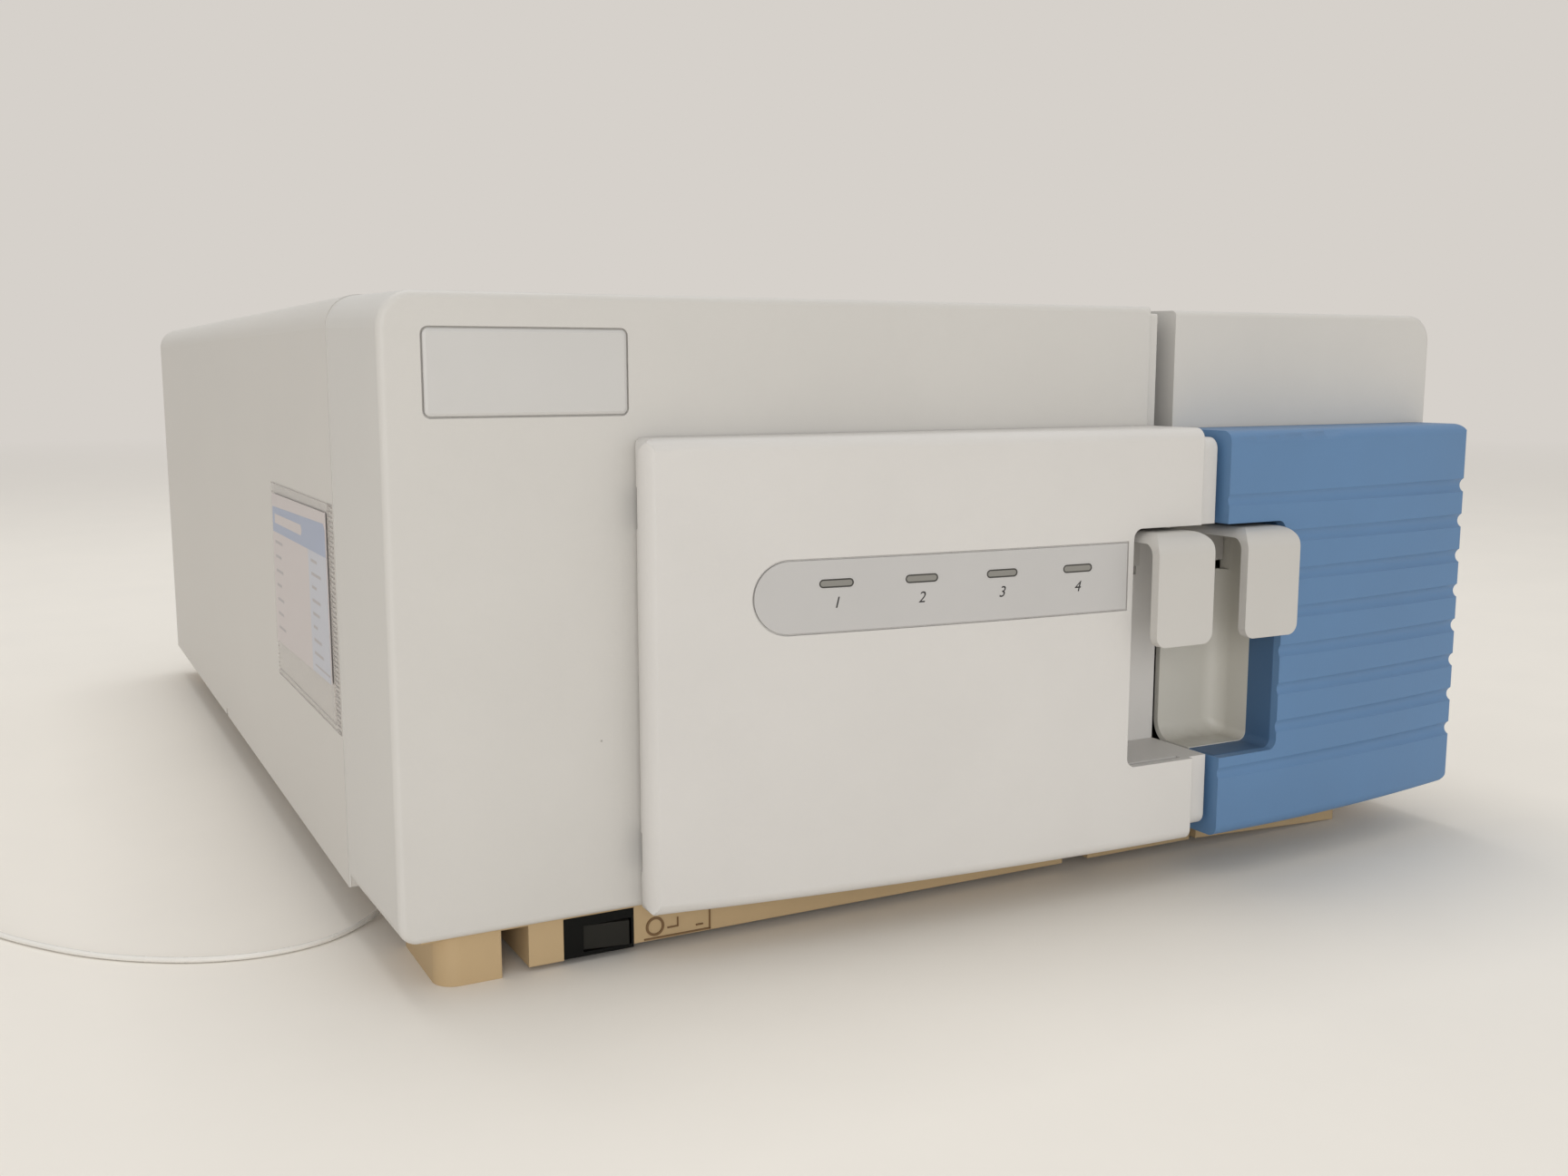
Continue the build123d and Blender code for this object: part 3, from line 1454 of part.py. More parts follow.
def fuse_drawer():
    """The fuse drawer, an open-topped tray behind a front with a finger lip."""
    y1 = rear_face + inlet_flange_thickness
    half_w, half_h = drawer_width / 2, drawer_height / 2
    z = drawer_z()
    body = block(inlet_x - half_w, inlet_x + half_w, y1 - drawer_depth, y1, z - half_h, z + half_h)
    wall = drawer_wall
    body -= block(
        inlet_x - half_w + wall, inlet_x + half_w - wall, y1 - drawer_depth + wall,
        y1 - drawer_front, z - half_h + wall, z + half_h + 1,
    )
    return body + block(inlet_x - 5, inlet_x + 5, y1, y1 + 1.5, z - half_h + 1, z - half_h + 3)


def network_socket():
    """The shielded network socket."""
    half_w, half_h = network_width / 2, network_height / 2
    y1 = rear_face + 1
    y0 = y1 - network_depth
    body = block(network_x - half_w, network_x + half_w, y0, y1, network_z - half_h, network_z + half_h)
    mouth = rect(network_x - 5.9, network_x + 5.9, network_z - 3.4, network_z + 3.4)
    mouth += rect(network_x - 3, network_x + 3, network_z + 3.3, network_z + 5.2)
    body -= elevation(mouth, y1 - 13, y1 + 1)
    half = network_width / 2
    return body + block(
        network_x - half, network_x + half, y0, y1 - 8, pan_top + standoff_height + board_thickness,
        network_z - half_h,
    ) - block(0, 400, y0 - 1, y0 + 2, 0, network_z - half_h)


def signal_connectors():
    """The two rows of signal terminals, each in its own cut-out."""
    half_w, half_h = connector_width / 2, connector_height / 2
    y1 = rear_face + 2
    rows = []
    for x, z in connector_places():
        body = block(x - half_w, x + half_w, y1 - connector_depth, y1, z - half_h, z + half_h)
        pitch = connector_width / (connector_pins + 0.5)
        for index in range(connector_pins):
            pin_x = x + (index - (connector_pins - 1) / 2) * pitch
            body -= block(pin_x - 1.1, pin_x + 1.1, y1 - 7, y1 + 1, z - 1.6, z + 1.6)
        rim = connector_rim
        body += block(
            x - half_w - rim, x + half_w + rim, rear_inner - rim, rear_inner, z - half_h, z + half_h
        )
        rows.append(body.solid())
    return Compound(rows)


# ------------------------------------------------------------------ drain line
def drain_direction():
    """Unit direction of the drain line as it leaves its fitting."""
    angle = math.radians(drain_heading)
    return math.cos(angle), math.sin(angle)


def drain_stem():
    """X and Y of the fitting's upright stem through the base."""
    dx, dy = drain_direction()
    back = drain_nut_length + drain_spigot_r / 2
    return drain_exit[0] - dx * back, drain_exit[1] - dy * back


def drain_fitting():
    """The elbow under the base: a stem through the floor and a nut that grips the tube."""
    dx, dy = drain_direction()
    x, y = drain_stem()
    low = drain_nut_z - drain_spigot_r
    top = pan_top + 8
    body = rod(x, y, (low + top) / 2, drain_spigot_r, top - low, "z")
    reach = drain_nut_length
    middle = (drain_exit[0] - dx * reach / 2, drain_exit[1] - dy * reach / 2)
    turn = Rot(0, 0, drain_heading)
    nut = Pos(middle[0], middle[1], drain_nut_z) * turn * Rot(0, 90, 0) * Cylinder(drain_nut_r, reach)
    nut = chamfer(nut.edges().filter_by(GeomType.CIRCLE), 0.5)
    collar_z = tray_floor_z - 1.5
    return body + nut + rod(x, y, collar_z, drain_spigot_r + 2, 3, "z")


def route():
    """The drain tube's route, from the fitting's mouth to the coil."""
    start = (drain_exit[0], drain_exit[1], drain_nut_z)
    return [Vector(*point) for point in [start] + drain_route]


def arc_radii(points):
    """The radius at each corner: as large as the shorter of its two runs allows."""
    radii = []
    for before, here, after in zip(points, points[1:], points[2:]):
        turn = math.radians((here - before).get_angle(after - here))
        shorter = min((here - before).length, (after - here).length)
        radii.append(0.45 * shorter / math.tan(turn / 2))
    return radii


def drain_tube():
    """The tube along the bench, in straight runs joined by tangent arcs."""
    points = route()
    radii = arc_radii(points)
    path = FilletPolyline(*points, radius=radii)
    section = Plane(points[0], z_dir=points[1] - points[0]) * Circle(tube_r)
    tube = sweep(section, path=path)
    expected = math.pi * tube_r**2 * path.length
    print("tube radii", " ".join(f"{value:.1f}" for value in radii))
    print(f"tube length {path.length:.2f} volume {tube.volume:.2f} expected {expected:.2f}")
    return tube


def drain_coil():
    """The put-away length of the drain tube, as one ring."""
    half = coil_columns * tube_diameter / 2
    height = coil_layers * tube_diameter
    ring = Circle(coil_mean_r + half) - Circle(coil_mean_r - half)
    return Pos(coil_centre[0], coil_centre[1], 0) * extrude(ring, height)


# ------------------------------------------------------------------ document pouch
def pouch_outline(margin):
    """The pouch seen from the side, its rear edge leaning, brought in by a margin."""
    return make_face(
        Polyline(
            (pouch_front + margin, pouch_bottom + margin),
            (pouch_back_bottom - margin, pouch_bottom + margin),
            (pouch_back_top - margin, pouch_top),
            (pouch_front + margin, pouch_top),
            close=True,
        )
    )


def document_pouch():
    """The clear pouch stuck to the cover's side, welded on three edges and open at the top."""
    outer = side(pouch_outline(0), -pouch_film, 0)
    outer += side(pouch_outline(pouch_weld), -pouch_depth, 0)
    pocket = Pos(0, 0, 2) * side(pouch_outline(pouch_weld + 0.6), -pouch_film - pouch_slit, -pouch_film)
    return outer - pocket


def pouch_card():
    """The card in the pouch."""
    low = pouch_bottom + pouch_weld + card_bottom_gap
    y0 = pouch_front + pouch_weld + card_front_gap
    middle = -(pouch_film + pouch_slit / 2)
    return block(
        middle - card_thickness / 2, middle + card_thickness / 2, y0, y0 + card_length - pouch_weld,
        low, pouch_top - card_top_gap,
    )


pieces = {
    "base_tray": base_tray,
    "rear_cover": rear_cover,
    "bezel_left": bezel_left,
    "bezel_right": bezel_right,
    "badge_plate": badge_plate,
    "white_door": white_door,
    "status_strip": status_strip,
    "status_board": status_board,
    "hook_left": lambda: hook(left_hook_x(), scoop_back_y),
    "blue_door": blue_door,
    "handle_cup": handle_cup,
    "hook_right": lambda: hook(right_hook_x(), scoop_back_y - cup_back_step),
    "white_hinge_lower": lambda: hinge_bracket(white_pivot_x, 1, hinge_bottom_z),
    "white_hinge_upper": lambda: hinge_bracket(white_pivot_x, 1, hinge_top_z),
    "blue_hinge_lower": lambda: hinge_bracket(blue_pivot_x, -1, hinge_bottom_z),
    "blue_hinge_upper": lambda: hinge_bracket(blue_pivot_x, -1, hinge_top_z),
    "white_hinge_pins": lambda: hinge_pins(white_pivot_x),
    "blue_hinge_pins": lambda: hinge_pins(blue_pivot_x),
    "left_catch_magnet": lambda: catch_magnet(-1),
    "right_catch_magnet": lambda: catch_magnet(1),
    "left_strike_plate": lambda: strike_plate(-1),
    "right_strike_plate": lambda: strike_plate(1),
    "switch_body": switch_body,
    "switch_rocker": switch_rocker,
    "compartment_panel": compartment_panel,
    "drip_tray": drip_tray,
    "chassis_pan": chassis_pan,
    "flow_cell_mount": flow_cell_mount,
    "flow_cell": flow_cell,
    "inlet_fitting": lambda: cell_fitting(-1),
    "outlet_fitting": lambda: cell_fitting(1),
    "captive_screws": captive_screws,
    "lamp_housing": lamp_housing,
    "lamp_cover": lamp_cover,
    "deuterium_lamp": deuterium_lamp,
    "tungsten_lamp": tungsten_lamp,
    "optical_bench": optical_bench,
    "focusing_mirror": focusing_mirror,
    "concave_grating": concave_grating,
    "entrance_slit": entrance_slit,
    "diode_array": diode_array,
    "main_board": main_board,
    "power_supply": power_supply,
    "rear_panel": rear_panel,
    "fan_frame": fan_frame,
    "fan_rotor": fan_rotor,
    "power_inlet": power_inlet,
    "fuse_drawer": fuse_drawer,
    "network_socket": network_socket,
    "signal_connectors": signal_connectors,
    "drain_fitting": drain_fitting,
    "drain_tube": drain_tube,
    "drain_coil": drain_coil,
    "document_pouch": document_pouch,
    "pouch_card": pouch_card,
}
for light in range(light_count):
    pieces[f"status_light_{light + 1}"] = lambda light=light: light_form(light, 0)

os.makedirs("parts", exist_ok=True)
for node, make in pieces.items():
    shape = Pos(-origin_x, -origin_y, 0) * make()
    solids = shape.solids()
    whole = solids[0] if len(solids) == 1 else Compound(solids)
    whole.label = node
    export_step(whole, f"parts/{node}.step")
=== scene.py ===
# %% [markdown]
# # A bench-top chromatography detector module
#
# The solids come ready made, at their real size, with their doors, switch and fan as bodies that
# can move. This lesson dresses them: it gives every surface the finish that its maker gave it, and
# it adds what is too thin or too fine for the solids, such as the moulded switch symbols, the
# welded seam of the document pouch and the heads of the screws.

# %% Load the frame
import bpy
import math
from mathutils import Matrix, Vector


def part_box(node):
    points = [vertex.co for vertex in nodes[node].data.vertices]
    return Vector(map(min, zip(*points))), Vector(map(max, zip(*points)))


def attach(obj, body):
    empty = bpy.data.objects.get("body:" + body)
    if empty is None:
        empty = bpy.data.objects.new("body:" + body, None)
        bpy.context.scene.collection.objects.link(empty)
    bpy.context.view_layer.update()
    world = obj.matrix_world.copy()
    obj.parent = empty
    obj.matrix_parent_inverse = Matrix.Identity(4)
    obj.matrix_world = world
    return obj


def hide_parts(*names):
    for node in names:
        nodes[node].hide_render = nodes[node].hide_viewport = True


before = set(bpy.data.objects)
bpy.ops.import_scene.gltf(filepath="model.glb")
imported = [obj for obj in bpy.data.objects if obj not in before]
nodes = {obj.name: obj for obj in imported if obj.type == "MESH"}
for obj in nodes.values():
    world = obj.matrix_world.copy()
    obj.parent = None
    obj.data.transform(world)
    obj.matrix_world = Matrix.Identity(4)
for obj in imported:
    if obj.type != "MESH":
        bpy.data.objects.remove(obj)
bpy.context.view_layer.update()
mm = 0.001

# %% [markdown]
# ## Where the camera stands
#
# The camera stands a little to the left of the module, at about the height of its top, and looks
# slightly down. A camera turned by plain angles is easy to read: first its tilt from straight
# down, then its small roll, then its turn about the upright axis.

# %% Camera
camera_place = (-0.26359, -0.59007, 0.15858)
camera_turn = 27.672
camera_drop = 8.2568
camera_roll = 0.05

lens = bpy.data.cameras.new("camera")
lens.sensor_width = 36
lens.lens = 34.686
lens.clip_start = 0.01
camera = bpy.data.objects.new("camera", lens)
camera.location = camera_place
camera.rotation_euler = [math.radians(a) for a in (90 - camera_drop, camera_roll, -camera_turn)]
bpy.context.scene.collection.objects.link(camera)
bpy.context.scene.camera = camera
print("camera at", camera_place)

# %% [markdown]
# ## The drain tube
#
# A thin clear tube leaves an elbow under the base and lies on the bench. It is stiff for its size,
# so it runs in one long loose bow. A NURBS spline through a few chosen points gives that bow
# without a kink, where straight runs with rounded corners would look like bent wire. The length
# that nobody needs is wound into a small coil: the spline goes on round and round, and a loop
# works out those turns. Each turn steps in by one diameter over a sixth of the way round, and at
# the inner edge the tube climbs one diameter and starts back, so no two turns share a place.

# %% Route of the tube
tube_size = 1.6
tube_rest = 0.82
tube_exit = (-155.6, -138.0, 4.3)
tube_points = [
    tube_exit,
    (-162.5, -146.7, 3.6),
    (-170.3, -156.6, 1.4),
    (-177.7, -165.3, 0.82),
    (-190.1, -174.5, 0.82),
    (-206.1, -176.9, 0.82),
    (-222.1, -172.9, 0.82),
    (-236.6, -164.5, 0.82),
    (-249.6, -153.7, 0.82),
    (-261.1, -139.9, 0.82),
    (-271.1, -125.5, 0.82),
    (-275.2, -114.6, 0.82),
]
coil_centre = (-288.6, -108.5)
coil_outer = 10.7
coil_pitch = 1.64
coil_rise = 1.6
coil_columns = 3
coil_layers = 3
coil_start = 20.1
coil_turns = 8
coil_steps = 18
coil_shift = 1 / 6


def coil_moves():
    """When the tube steps to the next column or climbs a layer: (turn, columns in, layers up)."""
    moves = []
    start = 1 - coil_shift
    for layer in range(coil_layers):
        way = -1 if layer % 2 else 1
        for _ in range(coil_columns - 1):
            moves.append((start, way, 0))
            start += 1
        start -= coil_shift
        moves.append((start, 0, 1))
        start += 1 - coil_shift
    return moves


def coil_points():
    """The control points of the put-away turns, in millimetres."""
    points = []
    for step in range(coil_turns * coil_steps + 1):
        turn = step / coil_steps
        column = layer = 0.0
        for start, inward, upward in coil_moves():
            share = min(max((turn - start) / coil_shift, 0), 1)
            column += inward * share
            layer += upward * share
        radius = coil_outer - column * coil_pitch
        angle = math.radians(coil_start) + 2 * math.pi * turn
        x = coil_centre[0] + radius * math.cos(angle)
        y = coil_centre[1] + radius * math.sin(angle)
        points.append((x, y, tube_rest + layer * coil_rise))
    return points


# %% Make the tube
def cord_curve(name, points, diameter):
    """A round cord on one open NURBS spline through the given points, in millimetres."""
    curve = bpy.data.curves.new(name, "CURVE")
    curve.dimensions = "3D"
    curve.resolution_u = 5
    curve.bevel_depth = 1.0
    curve.bevel_resolution = 3
    curve.use_fill_caps = True
    spline = curve.splines.new("NURBS")
    spline.points.add(len(points) - 1)
    for point, place in zip(spline.points, points):
        point.co = (*[value * mm for value in place], 1)
        point.radius = diameter / 2 * mm
    spline.order_u = 3
    spline.use_endpoint_u = True
    piece = bpy.data.objects.new(name, curve)
    bpy.context.scene.collection.objects.link(piece)
    return piece


drain_line = cord_curve("drain_line", tube_points + coil_points(), tube_size)
tube_length = drain_line.data.splines[0].calc_length()
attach(drain_line, "case")
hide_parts("drain_tube", "drain_coil")
print(f"drain line {tube_length:.3f} m")

# %% [markdown]
# ## Bench and light
#
# A plain pale bench and even light show a pale object best: its faces differ only a little in
# tone, so strong lamps would burn them out. Most of the light comes from the world, which fills
# every side. One wide lamp overhead, a little behind the module, draws the soft shadow under the
# doors. A second stands low in front, so the shallow flutes across the right door stay faint.

# %% Bench, world and lamps
def linear(red, green, blue):
    """A colour as seen on a screen, 0 to 255, in the linear values that shaders use."""
    shares = (value / 255 for value in (red, green, blue))
    return tuple(s / 12.92 if s <= 0.04045 else ((s + 0.055) / 1.055) ** 2.4 for s in shares)


def mesh_piece(name, vertices, faces, body):
    """A mesh object in metres that rides on a body and takes a slot's finish."""
    mesh = bpy.data.meshes.new(name)
    mesh.from_pydata([tuple(v) for v in vertices], [], faces)
    mesh.validate()
    mesh.update()
    piece = bpy.data.objects.new(name, mesh)
    bpy.context.scene.collection.objects.link(piece)
    if body:
        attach(piece, body)
    return piece


def area_lamp(name, place, target, size, watts):
    """A square lamp at a place, turned to a target."""
    lamp = bpy.data.lights.new(name, "AREA")
    lamp.shape = "SQUARE"
    lamp.size = size
    lamp.energy = watts
    holder = bpy.data.objects.new(name, lamp)
    holder.location = place
    holder.rotation_euler = (Vector(target) - Vector(place)).to_track_quat("-Z", "Y").to_euler()
    bpy.context.scene.collection.objects.link(holder)
    return holder


bench_half = 6.0
bench = mesh_piece(
    "bench",
    [(x * bench_half, y * bench_half, 0) for x, y in ((-1, -1), (1, -1), (1, 1), (-1, 1))],
    [(0, 1, 2, 3)],
    None,
)

world = bpy.data.worlds.new("pale room")
bpy.context.scene.world = world
world.use_nodes = True
room = world.node_tree.nodes["Background"]
room.inputs["Color"].default_value = (*linear(249, 248, 246), 1)
room.inputs["Strength"].default_value = 0.69
backdrop = world.node_tree.nodes.new("ShaderNodeBackground")
backdrop_tone = (214, 209, 203)
backdrop.inputs["Color"].default_value = (*linear(*backdrop_tone), 1)
seen = world.node_tree.nodes.new("ShaderNodeLightPath")
choose = world.node_tree.nodes.new("ShaderNodeMixShader")
links = world.node_tree.links
links.new(seen.outputs["Is Camera Ray"], choose.inputs["Fac"])
links.new(room.outputs["Background"], choose.inputs[1])
links.new(backdrop.outputs["Background"], choose.inputs[2])
links.new(choose.outputs["Shader"], world.node_tree.nodes["World Output"].inputs["Surface"])

area_lamp("ceiling lamp", (0.0, 0.35, 1.9), (0, 0, 0.1), 1.0, 10.8)
area_lamp("front lamp", (-0.95, -2.15, 0.5), (0, -0.1, 0.1), 1.0, 14)
bpy.context.scene.view_settings.view_transform = "Standard"
print("two lamps and the world")

# %% [markdown]
# ## Effects that many finishes share
#
# Nearly every piece here is moulded or sheet metal, so a few effects come back again and again.
# Each is built once as a node group with named inputs. The first is the fine sparked grain that a
# mould leaves, laid over a normal that rounds the sharp edges of the solids by a fraction of a
# millimetre, because it is the thin light line along an edge that makes moulded plastic look real.

# %% Group: moulded grain
def new_group(name, inputs, outputs):
    """An empty node group with its sockets, and its input and output nodes."""
    group = bpy.data.node_groups.new(name, "ShaderNodeTree")
    for label, kind, value in inputs:
        socket = group.interface.new_socket(label, in_out="INPUT", socket_type=kind)
        socket.default_value = value
    for label, kind in outputs:
        group.interface.new_socket(label, in_out="OUTPUT", socket_type=kind)
    return group, group.nodes.new("NodeGroupInput"), group.nodes.new("NodeGroupOutput")


def maths(tree, operation, first, second=None, third=None):
    """A Math node fed with sockets or numbers; gives back its output."""
    node = tree.nodes.new("ShaderNodeMath")
    node.operation = operation
    for socket, value in zip(node.inputs, (first, second, third)):
        if value is None:
            continue
        if isinstance(value, (int, float)):
            socket.default_value = value
        else:
            tree.links.new(value, socket)
    return node.outputs[0]


def noise(tree, where, scale, detail=2.0, roughness=0.5):
    """A noise texture read at a vector; gives back its value."""
    node = tree.nodes.new("ShaderNodeTexNoise")
    node.inputs["Detail"].default_value = detail
    node.inputs["Roughness"].default_value = roughness
    tree.links.new(where, node.inputs["Vector"])
    if isinstance(scale, (int, float)):
        node.inputs["Scale"].default_value = scale
    else:
        tree.links.new(scale, node.inputs["Scale"])
    return node.outputs[0]


def object_place(tree):
    """The place on the piece, in metres."""
    return tree.nodes.new("ShaderNodeTexCoord").outputs["Object"]


FLOAT, COLOUR, VECTOR = "NodeSocketFloat", "NodeSocketColor", "NodeSocketVector"

grain_group, entry, exit_ = new_group(
    "moulded grain",
    [("Grain Size", FLOAT, 0.0006), ("Grain Depth", FLOAT, 0.00002), ("Edge Radius", FLOAT, 0.0004)],
    [("Normal", VECTOR), ("Grain", FLOAT)],
)
place = object_place(grain_group)
fineness = maths(grain_group, "DIVIDE", 1.0, entry.outputs["Grain Size"])
fine = noise(grain_group, place, fineness, 3.0, 0.6)
broad = noise(grain_group, place, maths(grain_group, "MULTIPLY", fineness, 0.31), 2.0)
fine_part = maths(grain_group, "MULTIPLY", fine, 0.7)
mixed = maths(grain_group, "ADD", fine_part, maths(grain_group, "MULTIPLY", broad, 0.3))
edge = grain_group.nodes.new("ShaderNodeBevel")
edge.samples = 4
grain_group.links.new(entry.outputs["Edge Radius"], edge.inputs["Radius"])
bump = grain_group.nodes.new("ShaderNodeBump")
bump.inputs["Distance"].default_value = 1.0
height = maths(grain_group, "MULTIPLY", mixed, entry.outputs["Grain Depth"])
grain_group.links.new(height, bump.inputs["Height"])
grain_group.links.new(edge.outputs["Normal"], bump.inputs["Normal"])
grain_group.links.new(bump.outputs["Normal"], exit_.inputs["Normal"])
grain_group.links.new(mixed, exit_.inputs["Grain"])
print("group", grain_group.name)

# %% [markdown]
# The second effect is use. A case that has stood in a laboratory is not one even colour: it has
# very faint clouds from wiping, a few dark specks, and dust on what faces up. Clouds are broad
# noise. Specks are Voronoi cells, of which only a few are let through. Dust looks at how far the
# surface faces up. The group gives back a colour and a roughness, and the shader stays outside.

# %% Group: used surface
use_group, entry, exit_ = new_group(
    "used surface",
    [
        ("Color", COLOUR, (0.8, 0.8, 0.8, 1)),
        ("Roughness", FLOAT, 0.5),
        ("Clouds", FLOAT, 0.05),
        ("Specks", FLOAT, 0.5),
        ("Dust", FLOAT, 0.2),
        ("Dust Color", COLOUR, (*linear(150, 143, 130), 1)),
    ],
    [("Color", COLOUR), ("Roughness", FLOAT)],
)


def mix_colour(tree, share, first, second):
    """A Mix node on colours; gives back the result."""
    node = tree.nodes.new("ShaderNodeMix")
    node.data_type = "RGBA"
    for socket, value in ((node.inputs[0], share), (node.inputs[6], first), (node.inputs[7], second)):
        if isinstance(value, (int, float)):
            socket.default_value = value
        elif isinstance(value, tuple):
            socket.default_value = value
        else:
            tree.links.new(value, socket)
    return node.outputs[2]


def stretch(tree, value, low, high):
    """A value stretched so that low becomes 0 and high becomes 1, kept between them."""
    node = tree.nodes.new("ShaderNodeMapRange")
    node.inputs["From Min"].default_value = low
    node.inputs["From Max"].default_value = high
    tree.links.new(value, node.inputs["Value"])
    return node.outputs[0]


place = object_place(use_group)
cloud = stretch(use_group, noise(use_group, place, 14.0, 4.0, 0.6), 0.3, 0.7)
shade = maths(use_group, "MULTIPLY", maths(use_group, "SUBTRACT", cloud, 0.5), entry.outputs["Clouds"])
tint = use_group.nodes.new("ShaderNodeHueSaturation")
use_group.links.new(entry.outputs["Color"], tint.inputs["Color"])
use_group.links.new(maths(use_group, "ADD", shade, 1.0), tint.inputs["Value"])

cells = use_group.nodes.new("ShaderNodeTexVoronoi")
cells.inputs["Scale"].default_value = 95.0
use_group.links.new(place, cells.inputs["Vector"])
split = use_group.nodes.new("ShaderNodeSeparateColor")
use_group.links.new(cells.outputs["Color"], split.inputs["Color"])
few = maths(use_group, "LESS_THAN", split.outputs[0], 0.07)
reach = maths(use_group, "MULTIPLY", split.outputs[1], 0.05)
within = maths(use_group, "LESS_THAN", cells.outputs["Distance"], reach)
speck = maths(use_group, "MULTIPLY", within, few)
speck = maths(use_group, "MULTIPLY", speck, entry.outputs["Specks"])
marked = mix_colour(use_group, speck, tint.outputs["Color"], (*linear(96, 86, 74), 1))

facing = use_group.nodes.new("ShaderNodeNewGeometry")
axes = use_group.nodes.new("ShaderNodeSeparateXYZ")
use_group.links.new(facing.outputs["Normal"], axes.inputs[0])
up = stretch(use_group, axes.outputs[2], 0.35, 1.0)
patch = stretch(use_group, noise(use_group, place, 55.0, 5.0, 0.7), 0.35, 0.75)
dust = maths(use_group, "MULTIPLY", maths(use_group, "MULTIPLY", up, patch), entry.outputs["Dust"])
dusty = mix_colour(use_group, dust, marked, entry.outputs["Dust Color"])
use_group.links.new(dusty, exit_.inputs["Color"])
rub = maths(use_group, "MULTIPLY", maths(use_group, "SUBTRACT", cloud, 0.5), 0.12)
rough = maths(use_group, "ADD", entry.outputs["Roughness"], rub)
rough = maths(use_group, "ADD", rough, maths(use_group, "MULTIPLY", dust, 0.3))
use_group.links.new(rough, exit_.inputs["Roughness"])
print("group", use_group.name)

# %% [markdown]
# The third is brushed or rolled metal: fine scratches in one direction. Noise squeezed along one
# axis gives long thin streaks, which change the roughness and stand a few micrometres high.

# %% Group: drawn metal
metal_group, entry, exit_ = new_group(
    "drawn metal",
    [
        ("Color", COLOUR, (0.7, 0.7, 0.7, 1)),
        ("Roughness", FLOAT, 0.35),
        ("Streak Depth", FLOAT, 0.000004),
        ("Edge Radius", FLOAT, 0.0003),
    ],
    [("Color", COLOUR), ("Roughness", FLOAT), ("Normal", VECTOR)],
)
squeeze = metal_group.nodes.new("ShaderNodeMapping")
squeeze.inputs["Scale"].default_value = (1.0, 0.04, 0.6)
metal_group.links.new(object_place(metal_group), squeeze.inputs["Vector"])
streak = noise(metal_group, squeeze.outputs["Vector"], 3200.0, 3.0, 0.7)
blotch = noise(metal_group, object_place(metal_group), 60.0, 4.0, 0.6)
tone = metal_group.nodes.new("ShaderNodeHueSaturation")
metal_group.links.new(entry.outputs["Color"], tone.inputs["Color"])
shade = maths(metal_group, "ADD", maths(metal_group, "MULTIPLY", blotch, 0.16), 0.92)
metal_group.links.new(shade, tone.inputs["Value"])
metal_group.links.new(tone.outputs["Color"], exit_.inputs["Color"])
uneven = maths(metal_group, "MULTIPLY", maths(metal_group, "SUBTRACT", streak, 0.5), 0.3)
rough = maths(metal_group, "ADD", entry.outputs["Roughness"], uneven)
metal_group.links.new(rough, exit_.inputs["Roughness"])
edge = metal_group.nodes.new("ShaderNodeBevel")
edge.samples = 3
metal_group.links.new(entry.outputs["Edge Radius"], edge.inputs["Radius"])
bump = metal_group.nodes.new("ShaderNodeBump")
bump.inputs["Distance"].default_value = 1.0
height = maths(metal_group, "MULTIPLY", streak, entry.outputs["Streak Depth"])
metal_group.links.new(height, bump.inputs["Height"])
metal_group.links.new(edge.outputs["Normal"], bump.inputs["Normal"])
metal_group.links.new(bump.outputs["Normal"], exit_.inputs["Normal"])
print("group", metal_group.name)

# %% [markdown]
# ## Finishes
#
# Most finishes differ only in the numbers that they hand to the groups, so one helper makes a
# plastic and another a metal. What is the same all over, such as a coat or how clear a plastic
# is, is set on the shader itself.

# %% Helpers for finishes
finishes = {}


def group_node(tree, group, values):
    """A group placed in a material, with its inputs set."""
    node = tree.nodes.new("ShaderNodeGroup")
    node.node_tree = group
    for label, value in values.items():
        node.inputs[label].default_value = value
    return node


def plastic(
    name, colour, roughness, size=0.6, depth=0.02, edge=0.4,
    clouds=0.05, specks=0.4, dust=0.2, coat=0.0, shine=0.5,
):
    """A moulded plastic. Grain size and depth and the edge radius are in millimetres."""
    finish = bpy.data.materials.new(name)
    finish.use_nodes = True
    tree = finish.node_tree
    shader = tree.nodes["Principled BSDF"]
    grain = group_node(
        tree,
        grain_group,
        {"Grain Size": size * mm, "Grain Depth": depth * mm, "Edge Radius": edge * mm},
    )
    used = group_node(
        tree,
        use_group,
        {
            "Color": (*linear(*colour), 1),
            "Roughness": roughness,
            "Clouds": clouds,
            "Specks": specks,
            "Dust": dust,
        },
    )
    tree.links.new(grain.outputs["Normal"], shader.inputs["Normal"])
    tree.links.new(used.outputs["Color"], shader.inputs["Base Color"])
    tree.links.new(used.outputs["Roughness"], shader.inputs["Roughness"])
    shader.inputs["Coat Weight"].default_value = coat
    shader.inputs["Specular IOR Level"].default_value = shine
    finishes[name] = finish
    return finish


def metal(name, colour, roughness, streak=0.004, edge=0.3):
    """A bare metal. Streak depth and edge radius are in millimetres."""
    finish = bpy.data.materials.new(name)
    finish.use_nodes = True
    tree = finish.node_tree
    shader = tree.nodes["Principled BSDF"]
    shader.inputs["Metallic"].default_value = 1.0
    drawn = group_node(
        tree,
        metal_group,
        {
            "Color": (*linear(*colour), 1),
            "Roughness": roughness,
            "Streak Depth": streak * mm,
            "Edge Radius": edge * mm,
        },
    )
    for label in ("Color", "Roughness", "Normal"):
        target = "Base Color" if label == "Color" else label
        tree.links.new(drawn.outputs[label], shader.inputs[target])
    finishes[name] = finish
    return finish

